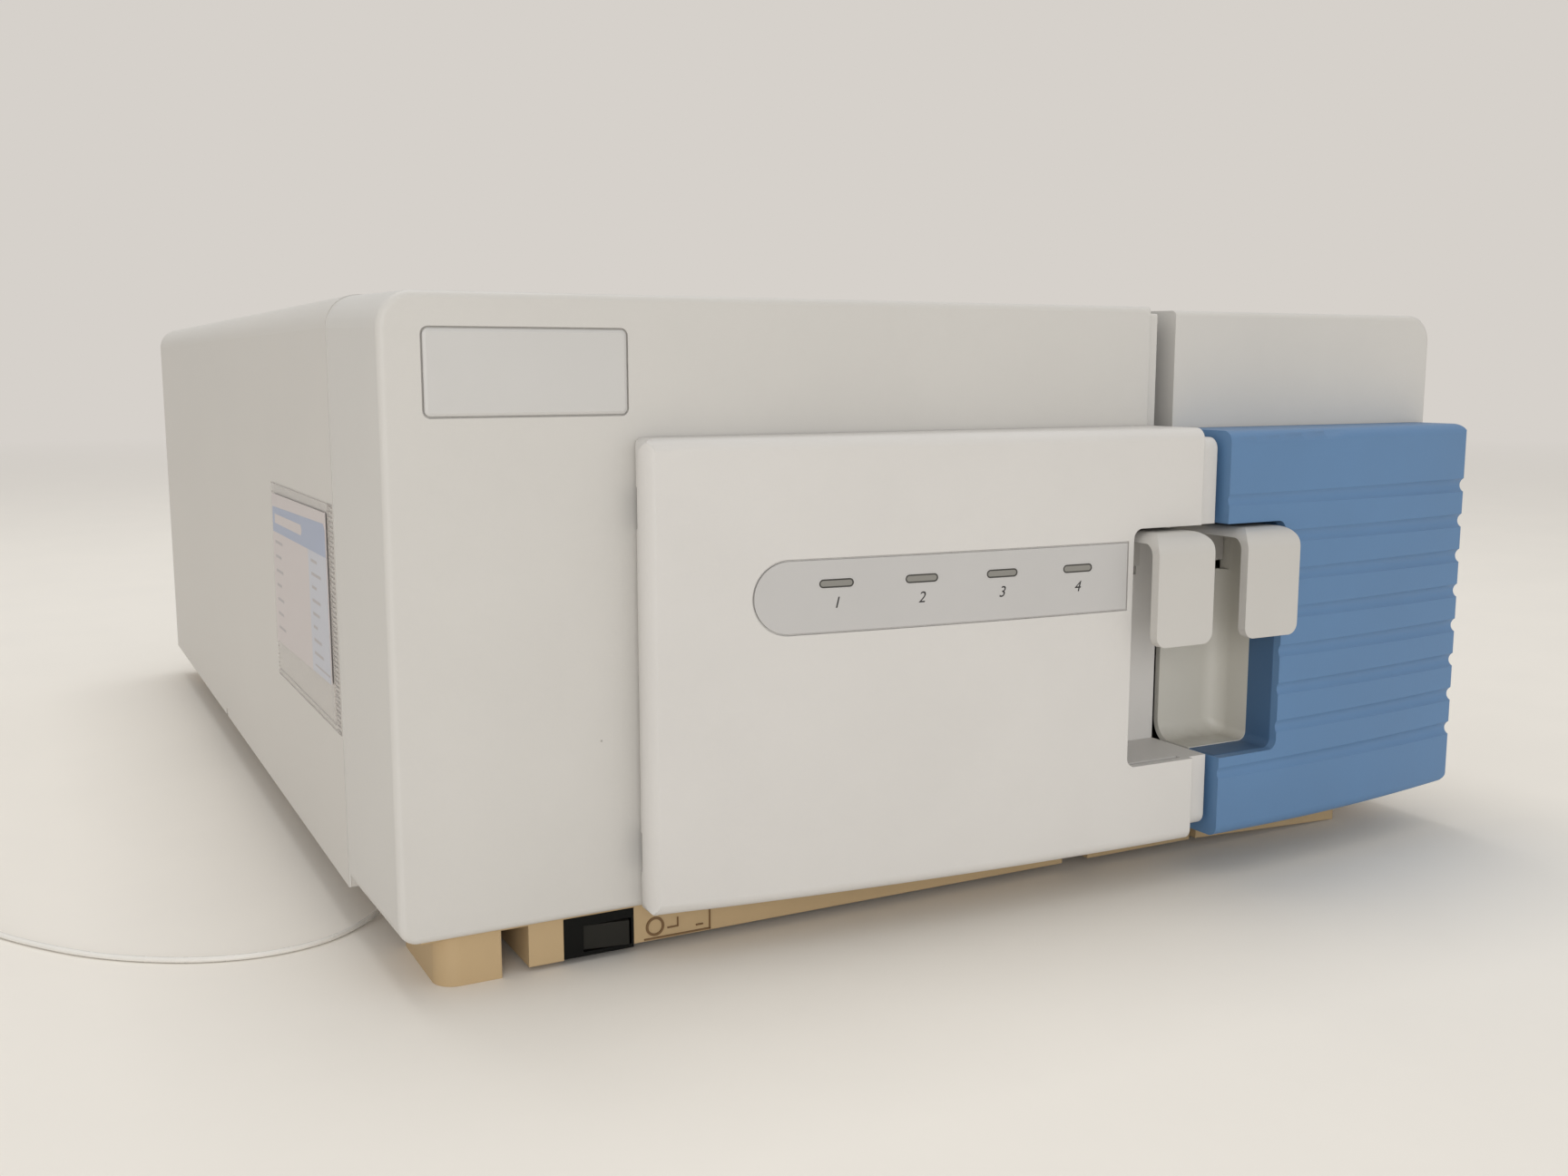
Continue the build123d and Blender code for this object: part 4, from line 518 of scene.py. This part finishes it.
# %% [markdown]
# The case mouldings share one off-white, with the fine grain of a sparked mould. The doors are the
# same plastic from another tool, a touch paler. The blue door takes a little dust in its flutes,
# and the wall of its hand notch is a darker blue, painted shade for that hollow. The base is a
# foamed plastic with a duller, slightly mottled skin. What is lacquered or printed is clean, without
# specks or dust.

# %% Case plastics
clean = {"specks": 0.0, "dust": 0.0}
plastic("cover plastic", (204, 200, 194), 0.52, size=0.9, depth=0.055, edge=0.18, dust=0.06)
plastic("bezel plastic", (204, 201, 196), 0.50, size=0.9, depth=0.055, edge=0.22, dust=0.06)
plastic("door plastic", (210, 207, 203), 0.48, size=0.8, depth=0.055, edge=0.22, dust=0.06)
plastic("hook plastic", (197, 194, 189), 0.42, size=0.4, depth=0.010, edge=0.2, specks=0.2, dust=0.08)
plastic(
    "cup plastic", (202, 199, 190), 0.45,
    size=0.4, depth=0.012, edge=0.2, specks=0.8, dust=0.5, clouds=0.08,
)
plastic(
    "blue plastic", (91, 128, 168), 0.5,
    size=0.8, depth=0.06, edge=0.22, clouds=0.10, specks=0.3, dust=0.10,
)
# A darker blue for the wall of the hand notch: painted shade inside the hollow, not another plastic.
plastic(
    "blue notch shade", (62, 96, 132), 0.55,
    size=0.8, depth=0.06, edge=0.1, clouds=0.10, specks=0.3, dust=0.10,
)
plastic(
    "base plastic", (184, 159, 121), 0.62,
    size=1.1, depth=0.05, edge=0.25, clouds=0.12, specks=1.0, dust=0.2,
)
plastic("badge lacquer", (200, 198, 195), 0.34, size=2.0, depth=0.002, edge=0.15, coat=0.15, **clean)
plastic("strip film", (191, 189, 187), 0.34, size=0.35, depth=0.005, edge=0.12, specks=0.1, dust=0.0)
print(len(finishes), "finishes")

# %% [markdown]
# The switch is black, with a weak shine and a little dust. The window of each light is a smoked
# lens: dark grey plastic with a clear coat over it. The inks of the printed pieces share the same
# very fine grain.

# %% Small plastics
ink = {"size": 0.3, "depth": 0.002, "edge": 0.02}
plastic(
    "switch black", (12, 13, 12), 0.38,
    size=0.5, depth=0.006, edge=0.25, clouds=0.2, specks=0.2, dust=0.04, shine=0.14,
)
plastic(
    "rocker black", (33, 32, 28), 0.42,
    size=0.5, depth=0.012, edge=0.35, clouds=0.2, specks=0.3, dust=0.12, shine=0.2,
)
plastic(
    "light lens", (132, 130, 124), 0.25,
    size=1.0, depth=0.002, edge=0.35, clouds=0.08, coat=0.6, **clean,
)
plastic(
    "moulded black", (20, 20, 21), 0.45,
    size=0.6, depth=0.010, edge=0.3, clouds=0.1, specks=0.2, dust=0.25,
)
plastic(
    "tray plastic", (182, 179, 172), 0.5,
    size=0.6, depth=0.010, edge=0.4, clouds=0.06, specks=0.8, dust=0.2,
)
plastic("fitting plastic", (190, 168, 128), 0.35, size=0.3, depth=0.004, edge=0.2, clouds=0.06, **clean)
plastic(
    "terminal green", (38, 112, 62), 0.4,
    size=0.4, depth=0.006, edge=0.25, clouds=0.06, specks=0.1, dust=0.1,
)
plastic("powder black", (22, 22, 22), 0.5, size=0.9, depth=0.03, edge=0.3, specks=0.1, dust=0.1)
plastic("powder grey", (188, 185, 178), 0.52, size=0.9, depth=0.03, edge=0.3, specks=0.3, dust=0.1)
plastic("card board", (204, 196, 194), 0.6, size=0.3, depth=0.004, edge=0.05, clouds=0.04, **clean)
# The signs are the base's own tan; this darker brown is painted shade along their moulded edges.
plastic(
    "sign shade brown", (116, 88, 55), 0.6,
    size=0.5, depth=0.004, edge=0.05, clouds=0.15, specks=0.0, dust=0.1,
)
plastic("dark ink", (42, 40, 40), 0.5, **ink, clouds=0.1, **clean)
plastic("faint ink", (176, 171, 172), 0.6, **ink, clouds=0.1, **clean)
plastic("card blue", (160, 170, 192), 0.55, **ink, clouds=0.05, **clean)
plastic("card blue white", (194, 196, 204), 0.6, **ink, clouds=0.04, **clean)
plastic("lens border", (60, 58, 54), 0.4, size=0.4, depth=0.002, edge=0.05, clouds=0.1, **clean)
print(len(finishes), "finishes")

# %% Metals and glass
metal("zinc sheet", (176, 178, 180), 0.38)
metal("ground steel", (170, 170, 172), 0.3)
metal("nickel magnet", (150, 150, 152), 0.3)
metal("cast aluminium", (186, 187, 189), 0.46, streak=0.008, edge=0.6)
metal("black anodised", (26, 26, 27), 0.4)
metal("polished mirror", (222, 226, 232), 0.05, streak=0.0)
metal("tinned shield", (186, 186, 188), 0.28)
metal("brass pin", (190, 160, 95), 0.3)


def clear(name, colour, roughness, index, through):
    """A clear plastic or glass with a faint haze that changes over it."""
    finish = bpy.data.materials.new(name)
    finish.use_nodes = True
    tree = finish.node_tree
    shader = tree.nodes["Principled BSDF"]
    shader.inputs["Base Color"].default_value = (*linear(*colour), 1)
    shader.inputs["IOR"].default_value = index
    shader.inputs["Transmission Weight"].default_value = through
    haze = noise(tree, object_place(tree), 240.0, 3.0)
    tree.links.new(maths(tree, "MULTIPLY", haze, roughness * 2), shader.inputs["Roughness"])
    finishes[name] = finish
    return finish


def film(name, colour, roughness, cover):
    """A thin clear film: cover is the share of the light that it keeps from going through."""
    finish = clear(name, colour, roughness, 1.45, 0.0)
    shader = finish.node_tree.nodes["Principled BSDF"]
    shader.inputs["Alpha"].default_value = cover
    shader.inputs["Coat Weight"].default_value = 0.4
    return finish


clear("bulb glass", (236, 240, 243), 0.02, 1.46, 1.0)
clear("clear tube", (226, 223, 217), 0.25, 1.35, 0.0)
film("pouch film", (222, 216, 212), 0.16, 0.10)
film("welded film", (204, 196, 190), 0.25, 0.45)
print(len(finishes), "finishes")

# %% [markdown]
# A circuit board is green lacquer over copper. Its tracks show as slightly paler straight runs:
# a brick texture is enough to say so at this distance.

# %% Circuit board
board = bpy.data.materials.new("circuit board")
board.use_nodes = True
tree = board.node_tree
shader = tree.nodes["Principled BSDF"]
shader.inputs["Roughness"].default_value = 0.35
shader.inputs["Coat Weight"].default_value = 0.4
tracks = tree.nodes.new("ShaderNodeTexBrick")
tracks.inputs["Color1"].default_value = (*linear(22, 84, 48), 1)
tracks.inputs["Color2"].default_value = (*linear(26, 92, 54), 1)
tracks.inputs["Mortar"].default_value = (*linear(52, 128, 78), 1)
tracks.inputs["Scale"].default_value = 160.0
tracks.inputs["Mortar Size"].default_value = 0.04
tree.links.new(object_place(tree), tracks.inputs["Vector"])
tree.links.new(tracks.outputs["Color"], shader.inputs["Base Color"])
finishes["circuit board"] = board

# %% [markdown]
# The bench is not part of the module. Far away it fades into the pale room, so that no hard line
# shows where the plane ends: a second shader that only the camera sees takes over with distance.

# %% Bench top
bench_top = plastic(
    "bench top", (238, 233, 225), 0.6, size=3.0, depth=0.01, edge=0.0, clouds=0.02, shine=0.15, **clean
)
tree = bench_top.node_tree
far_glow = tree.nodes.new("ShaderNodeEmission")
far_glow.inputs["Color"].default_value = (*linear(*backdrop_tone), 1)
distance = tree.nodes.new("ShaderNodeVectorMath")
distance.operation = "LENGTH"
tree.links.new(object_place(tree), distance.inputs[0])
fade_start, fade_end = 0.9, 3.2
fade = stretch(tree, distance.outputs["Value"], fade_start, fade_end)
seen = tree.nodes.new("ShaderNodeLightPath")
fade = maths(tree, "MULTIPLY", fade, seen.outputs["Is Camera Ray"])
blend = tree.nodes.new("ShaderNodeMixShader")
tree.links.new(fade, blend.inputs["Fac"])
tree.links.new(tree.nodes["Principled BSDF"].outputs["BSDF"], blend.inputs[1])
tree.links.new(far_glow.outputs["Emission"], blend.inputs[2])
tree.links.new(blend.outputs["Shader"], tree.nodes["Material Output"].inputs["Surface"])
print("bench fades from", fade_start, "m to", fade_end, "m")

# %% [markdown]
# ## Dressing the solids
#
# Each solid takes its finish by name. A solid is never moved or cut here: only the material in
# its slot changes.

# %% Which solid has which finish
dress = {
    "cover plastic": ["rear_cover"],
    "bezel plastic": ["bezel_left", "bezel_right"],
    "door plastic": ["white_door"],
    "blue plastic": ["blue_door"],
    "hook plastic": ["hook_left", "hook_right"],
    "cup plastic": ["handle_cup"],
    "badge lacquer": ["badge_plate"],
    "strip film": ["status_strip"],
    "light lens": [f"status_light_{number}" for number in range(1, 5)],
    "base plastic": ["base_tray"],
    "switch black": ["switch_body"],
    "rocker black": ["switch_rocker"],
    "powder black": ["white_hinge_lower", "white_hinge_upper", "blue_hinge_lower", "blue_hinge_upper"],
    "ground steel": [
        "white_hinge_pins", "blue_hinge_pins", "left_strike_plate", "right_strike_plate",
        "flow_cell", "captive_screws",
    ],
    "nickel magnet": ["left_catch_magnet", "right_catch_magnet"],
    "zinc sheet": ["chassis_pan", "power_supply"],
    "powder grey": ["compartment_panel", "rear_panel", "lamp_cover"],
    "tray plastic": ["drip_tray"],
    "cast aluminium": ["optical_bench", "lamp_housing", "flow_cell_mount"],
    "fitting plastic": ["inlet_fitting", "outlet_fitting", "drain_fitting"],
    "bulb glass": ["deuterium_lamp", "tungsten_lamp"],
    "polished mirror": ["focusing_mirror", "concave_grating"],
    "black anodised": ["entrance_slit"],
    "circuit board": ["main_board", "status_board", "diode_array"],
    "moulded black": ["fan_frame", "fan_rotor", "power_inlet", "fuse_drawer"],
    "tinned shield": ["network_socket"],
    "terminal green": ["signal_connectors"],
}
for finish, names in dress.items():
    for name in names:
        nodes[name].data.materials.clear()
        nodes[name].data.materials.append(finishes[finish])
drain_line.data.materials.append(finishes["clear tube"])
bench.data.materials.append(bench_top)
print(sum(len(names) for names in dress.values()), "solids dressed")

# %% [markdown]
# ## Fine pieces
#
# What follows is too thin for the solids. It is easiest to place by rule from the case itself, so
# one helper turns a place measured from the case's left side, its front face and the bench into
# the frame's own metres. Low raised shapes all come from one more helper: a block whose outer face
# is drawn in a little, as a mould needs.

# %% Helpers for fine pieces
case_left = 182.1
case_front = 223.5


def at(x, y, z):
    """A place in millimetres from the case's left side, its front face and the bench."""
    return Vector(((x - case_left) * mm, (y - case_front) * mm, z * mm))


def low_block(low, high, axis, way, taper):
    """Corners and faces of a block whose face towards way along axis is drawn in by taper."""
    corners = []
    for index in range(8):
        pick = [high[k] if index >> k & 1 else low[k] for k in range(3)]
        outer = (pick[axis] == high[axis]) == (way > 0)
        if outer:
            for k in range(3):
                if k != axis:
                    pick[k] += -taper if pick[k] == high[k] else taper
        corners.append(at(*pick))
    faces = [(0, 2, 3, 1), (4, 5, 7, 6), (0, 1, 5, 4), (2, 6, 7, 3), (0, 4, 6, 2), (1, 3, 7, 5)]
    return corners, faces


def raised(name, blocks, axis, way, taper, body, finish):
    """One piece made of many low blocks; each is a pair of corners."""
    vertices, faces = [], []
    for low, high in blocks:
        corners, sides = low_block(low, high, axis, way, taper)
        faces += [tuple(index + len(vertices) for index in side) for side in sides]
        vertices += corners
    piece = mesh_piece(name, vertices, faces, body)
    piece.data.materials.append(finishes[finish])
    return piece


def rings(name, loops, closed, body, finish, capped=False):
    """A skin between loops of as many points each, closed round and capped at its last if asked."""
    count = len(loops[0])
    vertices = [point for loop in loops for point in loop]
    faces = []
    pairs = list(range(len(loops) - 1)) + ([-1] if closed else [])
    for row in pairs:
        first, second = row % len(loops) * count, (row + 1) % len(loops) * count
        for step in range(count):
            after = (step + 1) % count
            faces.append((first + step, first + after, second + after, second + step))
    if capped:
        faces.append(tuple(range((len(loops) - 1) * count, len(loops) * count)))
    piece = mesh_piece(name, vertices, faces, body)
    piece.data.materials.append(finishes[finish])
    return piece


def round_rect(x0, x1, z0, z1, radius, y, steps=6):
    """Points of an upright rectangle with round corners."""
    points = []
    left, right, low, high = x0 + radius, x1 - radius, z0 + radius, z1 - radius
    for x, z, start in ((right, high, 0), (left, high, 90), (left, low, 180), (right, low, 270)):
        for step in range(steps + 1):
            angle = math.radians(start + 90 * step / steps)
            points.append(at(x + radius * math.cos(angle), y, z + radius * math.sin(angle)))
    return points


door_bow = 1177.9
seam = 247.45


def door_face(x):
    """Y of the left door's bowed face, and its turn about the upright axis."""
    run = x - seam
    return -24.6 + door_bow - math.sqrt(door_bow**2 - run**2), math.asin(run / door_bow)


print("helpers ready")

# %% [markdown]
# The cover and the front frame are two mouldings that meet on a lap joint. The joint is closed by a
# narrow sloping lip, so it shows as a soft line and not as a dark gap.

# %% Lip along the seam
case_wide, case_high, case_low, case_round = 365.5, 178.5, 14.0, 9.0
seam_back = 53.0


def case_outline(inset, y, steps=10):
    """Points round the case at an inset from its skin: square at the foot, round at the top."""
    radius = case_round - inset
    points = [at(case_wide - inset, y, case_low)]
    for x, start in ((case_wide - case_round, 0), (case_round, 90)):
        for step in range(steps + 1):
            angle = math.radians(start + 90 * step / steps)
            across, up = radius * math.cos(angle), radius * math.sin(angle)
            points.append(at(x + across, y, case_high - case_round + up))
    points.append(at(inset, y, case_low))
    return points


lip_steps = ((0.5, 0.3), (0.32, 0.14), (0.06, 0.01), (0.4, -0.1))
lip = [case_outline(inset, seam_back - before) for inset, before in lip_steps]
rings("seam_lip", lip, False, "case", "bezel plastic")

# %% [markdown]
# The badge is a bare plate that stands a little proud, with a narrow slope all round. Four loops
# of the same rounded rectangle, each a little smaller and further forward, make that slope.

# %% Badge face
badge = (12.4, 65.0, 147.1, 168.4)
loops = []
for inset, y in ((0.05, 0.25), (0.12, -0.1), (0.7, -0.4), (0.85, -0.42)):
    x0, x1, z0, z1 = badge
    loops.append(round_rect(x0 + inset, x1 - inset, z0 + inset, z1 - inset, 1.6 - inset, y))
rings("badge_face", loops, False, "case", "badge lacquer", capped=True)

# %% [markdown]
# The strip carries plain numbers under its lights, printed dark and leaning. A text object set to
# the door's bow lies flat on it.

# %% Numbers on the strip
light_first, light_pitch, light_level, number_level = 117.5, 25.5, 101.6, 96.2
light_places = [(number, light_first + (number - 1) * light_pitch) for number in range(1, 5)]
for number, x in light_places:
    y, turn = door_face(x)
    text = bpy.data.curves.new(f"number_{number}", "FONT")
    text.body = str(number)
    text.size = 4.4 * mm
    text.shear = 0.25
    text.align_x = "CENTER"
    text.align_y = "CENTER"
    text.extrude = 0.015 * mm
    figure = bpy.data.objects.new(f"number_{number}", text)
    figure.location = at(x, y - 0.02, number_level)
    figure.rotation_euler = (math.radians(90), 0, turn)
    bpy.context.scene.collection.objects.link(figure)
    text.materials.append(finishes["dark ink"])
    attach(figure, "white_door")
print("numbers 1 to 4")

# %% [markdown]
# The hand notch in the right door has a plain inner wall. A thin skin follows the notch from just
# behind the face back to the pale cup, in a darker blue that paints the shade inside the notch:
# each loop is a small upright section, and the loops walk along the floor, round the corner and up
# the wall.

# %% Wall of the hand notch
notch_edge, notch_floor, notch_roof, notch_round = 272.55, 39.4, 112.0, 3.0
notch_open = 249.0
skin_steps = ((0.03, -23.4), (0.12, -23.2), (0.12, -13.02), (-0.15, -13.02), (-0.15, -23.4))
walk = [(notch_open, notch_floor, 0, 1)]
for corner_z, start in ((notch_floor + notch_round, -90), (notch_roof - notch_round, 0)):
    for step in range(9):
        angle = math.radians(start + 90 * step / 8)
        across, up = math.cos(angle), math.sin(angle)
        x = notch_edge - notch_round + notch_round * across
        walk.append((x, corner_z + notch_round * up, -across, -up))
walk.append((notch_open, notch_roof, 0, -1))
sections = []
for x, z, inward_x, inward_z in walk:
    sections.append([at(x + inward_x * inset, y, z + inward_z * inset) for inset, y in skin_steps])
rings("notch_wall", sections, False, "blue_door", "blue notch shade")

# %% [markdown]
# Each light window has a narrow dark border, and round that a rim of the strip's own film. Beside
# the switch the base carries low signs, a ring for off and a stroke for on, with an angled line
# between them and a thin line below and to the right. The signs are moulded in the base's own tan;
# their darker brown is painted shade for the shadows along their edges.

# %% Borders of the lights and signs by the switch
def slot_loop(x, z, length, height, y_lift, steps=10):
    """Points of a slot outline laid on the door's bow."""
    points = []
    radius = height / 2
    for side, start in ((1, -90), (-1, 90)):
        for step in range(steps + 1):
            angle = math.radians(start + 180 * step / steps)
            px = x + side * (length / 2 - radius) + radius * math.cos(angle)
            points.append(at(px, door_face(px)[0] - y_lift, z + radius * math.sin(angle)))
    return points


# Each step is a slot's length and height, and how far it stands off the door.
border_steps = ((9.2, 1.5, -0.1), (9.3, 1.6, 0.05), (10.05, 2.35, 0.05), (10.1, 2.4, -0.1))
rim_steps = ((10.0, 2.3, -0.1), (10.1, 2.4, 0.06), (11.2, 2.9, 0.04), (11.3, 3.0, -0.1))
for number, x in light_places:
    for name, finish, steps in (
        ("border", "lens border", border_steps),
        ("rim", "strip film", rim_steps),
    ):
        loops = [slot_loop(x, light_level, length, height, lift) for length, height, lift in steps]
        rings(f"light_{name}_{number}", loops, True, "white_door", finish)

skirt_y = 3.2
sign_rise = 0.3
ring_x, ring_z = 72.1, 6.5
ring_loops = []
for step in range(40):
    angle = 2 * math.pi * step / 40
    outward = Vector((math.cos(angle), 0, math.sin(angle)))
    loop = []
    for radius, y in ((2.0, 0.02), (2.05, -sign_rise), (2.7, -sign_rise), (2.75, 0.02)):
        loop.append(at(ring_x + outward.x * radius, skirt_y + y, ring_z + outward.z * radius))
    ring_loops.append(loop)
rings("sign_off", ring_loops, True, "case", "sign shade brown")
strokes = [
    ((75.8, skirt_y - sign_rise, 5.3), (79.1, skirt_y, 5.75)),
    ((78.65, skirt_y - sign_rise, 5.75), (79.1, skirt_y, 8.1)),
    ((84.4, skirt_y - sign_rise, 4.55), (86.6, skirt_y, 5.05)),
    ((88.4, skirt_y - sign_rise, 2.9), (88.9, skirt_y, 10.6)),
    ((68.8, skirt_y - sign_rise, 2.9), (88.9, skirt_y, 3.4)),
]
raised("sign_on", strokes, 1, -1, 0.04, "case", "sign shade brown")

# %% [markdown]
# ## The document pouch
#
# The pouch is two films welded on three sides. The front weld is stamped with fine teeth, the foot
# has two thin lines, and the back edge a dotted one. Inside stands a printed card. Its words would
# be too small to read from here, so short dashes stand for them, all in one piece.

# %% Pouch films and welds
def plate_from(name, outline, x0, x1, finish):
    """A flat sheet in the side's plane: outline is (y, z) points, x0 its outer face."""
    count = len(outline)
    vertices = [at(x, y, z) for x in (x0, x1) for y, z in outline]
    faces = [tuple(range(count)), tuple(reversed(range(count, 2 * count)))]
    for step in range(count):
        after = (step + 1) % count
        faces.append((step, step + count, after + count, after))
    piece = mesh_piece(name, vertices, faces, "case")
    piece.data.materials.append(finishes[finish])
    return piece


film_front, film_back_low, film_back_high = 53.6, 154.5, 152.5
film_low, film_high = 57.4, 122.0


def film_corners(front=0, low=0, back=0, high=0):
    """Corners (y, z) of the film, drawn in by so much at its front, foot, back and top."""
    return [
        (film_front + front, film_low + low),
        (film_back_low - back, film_low + low),
        (film_back_high - back, film_high - high),
        (film_front + front, film_high - high),
    ]


flat_weld = (6.7, 2.2, 2.2, 0.4)
raised_part = (7.5, 3.2, 3.2, 1.6)
loops = [
    [at(x, y, z) for y, z in film_corners(*drawn_in)]
    for drawn_in, x in (((), -0.10), ((), -0.16), (flat_weld, -0.18), (raised_part, -1.0))
]
pouch_film = rings("pouch_film", loops, False, "case", "pouch film", capped=True)
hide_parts("document_pouch")
plate_from("pouch_back_film", film_corners(), -0.08, -0.04, "pouch film")

teeth = []
pitch = 1.4
for index in range(int((film_high - film_low) / pitch)):
    z = film_low + 0.5 + index * pitch
    teeth.append(((-0.32, film_front + 0.6, z), (-0.14, film_front + 5.6, z + 0.6)))
raised("pouch_teeth", teeth, 0, -1, 0.1, "case", "welded film")
lines = [
    ((-0.3, film_front + 6.2, film_low + 2.0), (-0.14, film_front + 6.6, film_high)),
    ((-0.3, film_front, film_low), (-0.14, film_back_low, film_low + 0.35)),
    ((-0.3, film_front + 6.6, film_low + 1.9), (-0.14, film_back_low - 2.3, film_low + 2.2)),
    ((-0.3, film_front, film_high - 0.3), (-0.14, film_back_high, film_high)),
]
raised("pouch_welds", lines, 0, -1, 0.1, "case", "welded film")
dots = []
for index in range(int((film_high - film_low - 2) / pitch)):
    z = film_low + 1 + index * pitch
    y = film_back_low + (film_back_high - film_back_low) * index * pitch / (film_high - film_low) - 1.6
    dots.append(((-0.3, y, z), (-0.14, y + 0.7, z + 0.6)))
raised("pouch_dots", dots, 0, -1, 0.1, "case", "welded film")

# %% Card in the pouch
card_outline = [(61.2, 70.6), (150.6, 69.4), (148.6, 118.6), (61.2, 119.2)]
pouch_card = plate_from("card", card_outline, -0.8, -0.5, "card board")
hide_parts("pouch_card")
side_outline = [(61.2, 70.7), (88.0, 70.4), (88.0, 106.4), (61.2, 106.6)]
band_outline = [(61.6, 106.6), (148.4, 106.2), (147.6, 114.4), (63.6, 116.0), (61.6, 114.2)]
field_outline = [(98.0, 109.4), (144.0, 109.2), (144.0, 112.2), (98.0, 112.6), (96.6, 111.0)]
plate_from("card_side", side_outline, -0.83, -0.8, "card blue white")
plate_from("card_band", band_outline, -0.84, -0.8, "card blue")
plate_from("card_field", field_outline, -0.87, -0.84, "card board")
dashes = []
for row, length in enumerate((13, 10, 12, 8, 11, 9, 12)):
    z = 102.6 - row * 4.7
    dashes.append(((-0.83, 145.0 - length, z), (-0.8, 145.0, z + 0.9)))
for row, length in enumerate((9, 14, 7, 12, 10, 6, 11, 13)):
    z = 103.2 - row * 3.9
    dashes.append(((-0.86, 84.0 - length, z), (-0.83, 84.0, z + 0.9)))
dashes.append(((-0.86, 62.5, 72.4), (-0.83, 84.0, 73.0)))
raised("card_words", dashes, 0, -1, 0.0, "case", "faint ink")
print(len(teeth), "teeth and", len(dashes), "dashes")

# %% [markdown]
# ## Screws
#
# The panels are held by pan-head screws. Each head is a low dome turned from a few rings, with a
# cross let into it. The cross is two thin dark blocks: at this size a real recess would only cost
# points.

# %% Screw heads
def screw_heads(name, places, radius, way, finish="ground steel"):
    """Domed screw heads that face along Y, way -1 to the front and 1 to the rear."""
    vertices, faces, crosses = [], [], []
    steps = 20
    profile = [(1.0, 0.0), (1.0, 0.22), (0.86, 0.42), (0.55, 0.54), (0.0, 0.58)]
    for x, y, z in places:
        base = len(vertices)
        for share, rise in profile[:-1]:
            reach, ahead = radius * share, y + way * rise * radius
            for step in range(steps):
                angle = 2 * math.pi * step / steps
                vertices.append(at(x + reach * math.cos(angle), ahead, z + reach * math.sin(angle)))
        vertices.append(at(x, y + way * profile[-1][1] * radius, z))
        tip = len(vertices) - 1
        for ring in range(len(profile) - 2):
            for step in range(steps):
                after = (step + 1) % steps
                near, far = base + ring * steps, base + (ring + 1) * steps
                faces.append((near + step, near + after, far + after, far + step))
        last = base + (len(profile) - 2) * steps
        faces += [(last + step, last + (step + 1) % steps, tip) for step in range(steps)]
        low, high = sorted((y + way * 0.3 * radius, y + way * 0.6 * radius))
        arm, half = radius * 0.5, radius * 0.1
        crosses.append(((x - arm, low, z - half), (x + arm, high, z + half)))
        crosses.append(((x - half, low, z - arm), (x + half, high, z + arm)))
    piece = mesh_piece(name, vertices, faces, "case")
    piece.data.materials.append(finishes[finish])
    for face in piece.data.polygons:
        face.use_smooth = True
    raised(name + "_cross", crosses, 1, way, 0.0, "case", "dark ink")
    return piece


rear = 475.0
fan_screws = [(188.0 + dx * 35.7, rear, 106.0 + dz * 35.7) for dx in (-1, 1) for dz in (-1, 1)]
screw_heads("fan_screws", fan_screws, 3.0, 1)
panel_screws = [(x, rear, z) for x in (16.0, 349.5) for z in (28.0, 96.0, 164.0)]
panel_screws += [(x, rear, 168.0) for x in (90.0, 275.0)]
screw_heads("panel_screws", panel_screws, 2.9, 1)
inlet_screws = [(312.0, 478.0, z) for z in (41.3, 90.7)]
screw_heads("inlet_screws", inlet_screws, 1.1, 1)
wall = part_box("compartment_panel")[0][1] / mm + case_front
wall_screws = [(x, wall, z) for x in (95.0, 207.0, 274.0) for z in (40.0, 124.0)]
screw_heads("compartment_screws", wall_screws, 2.6, -1)
print("screws in four groups")
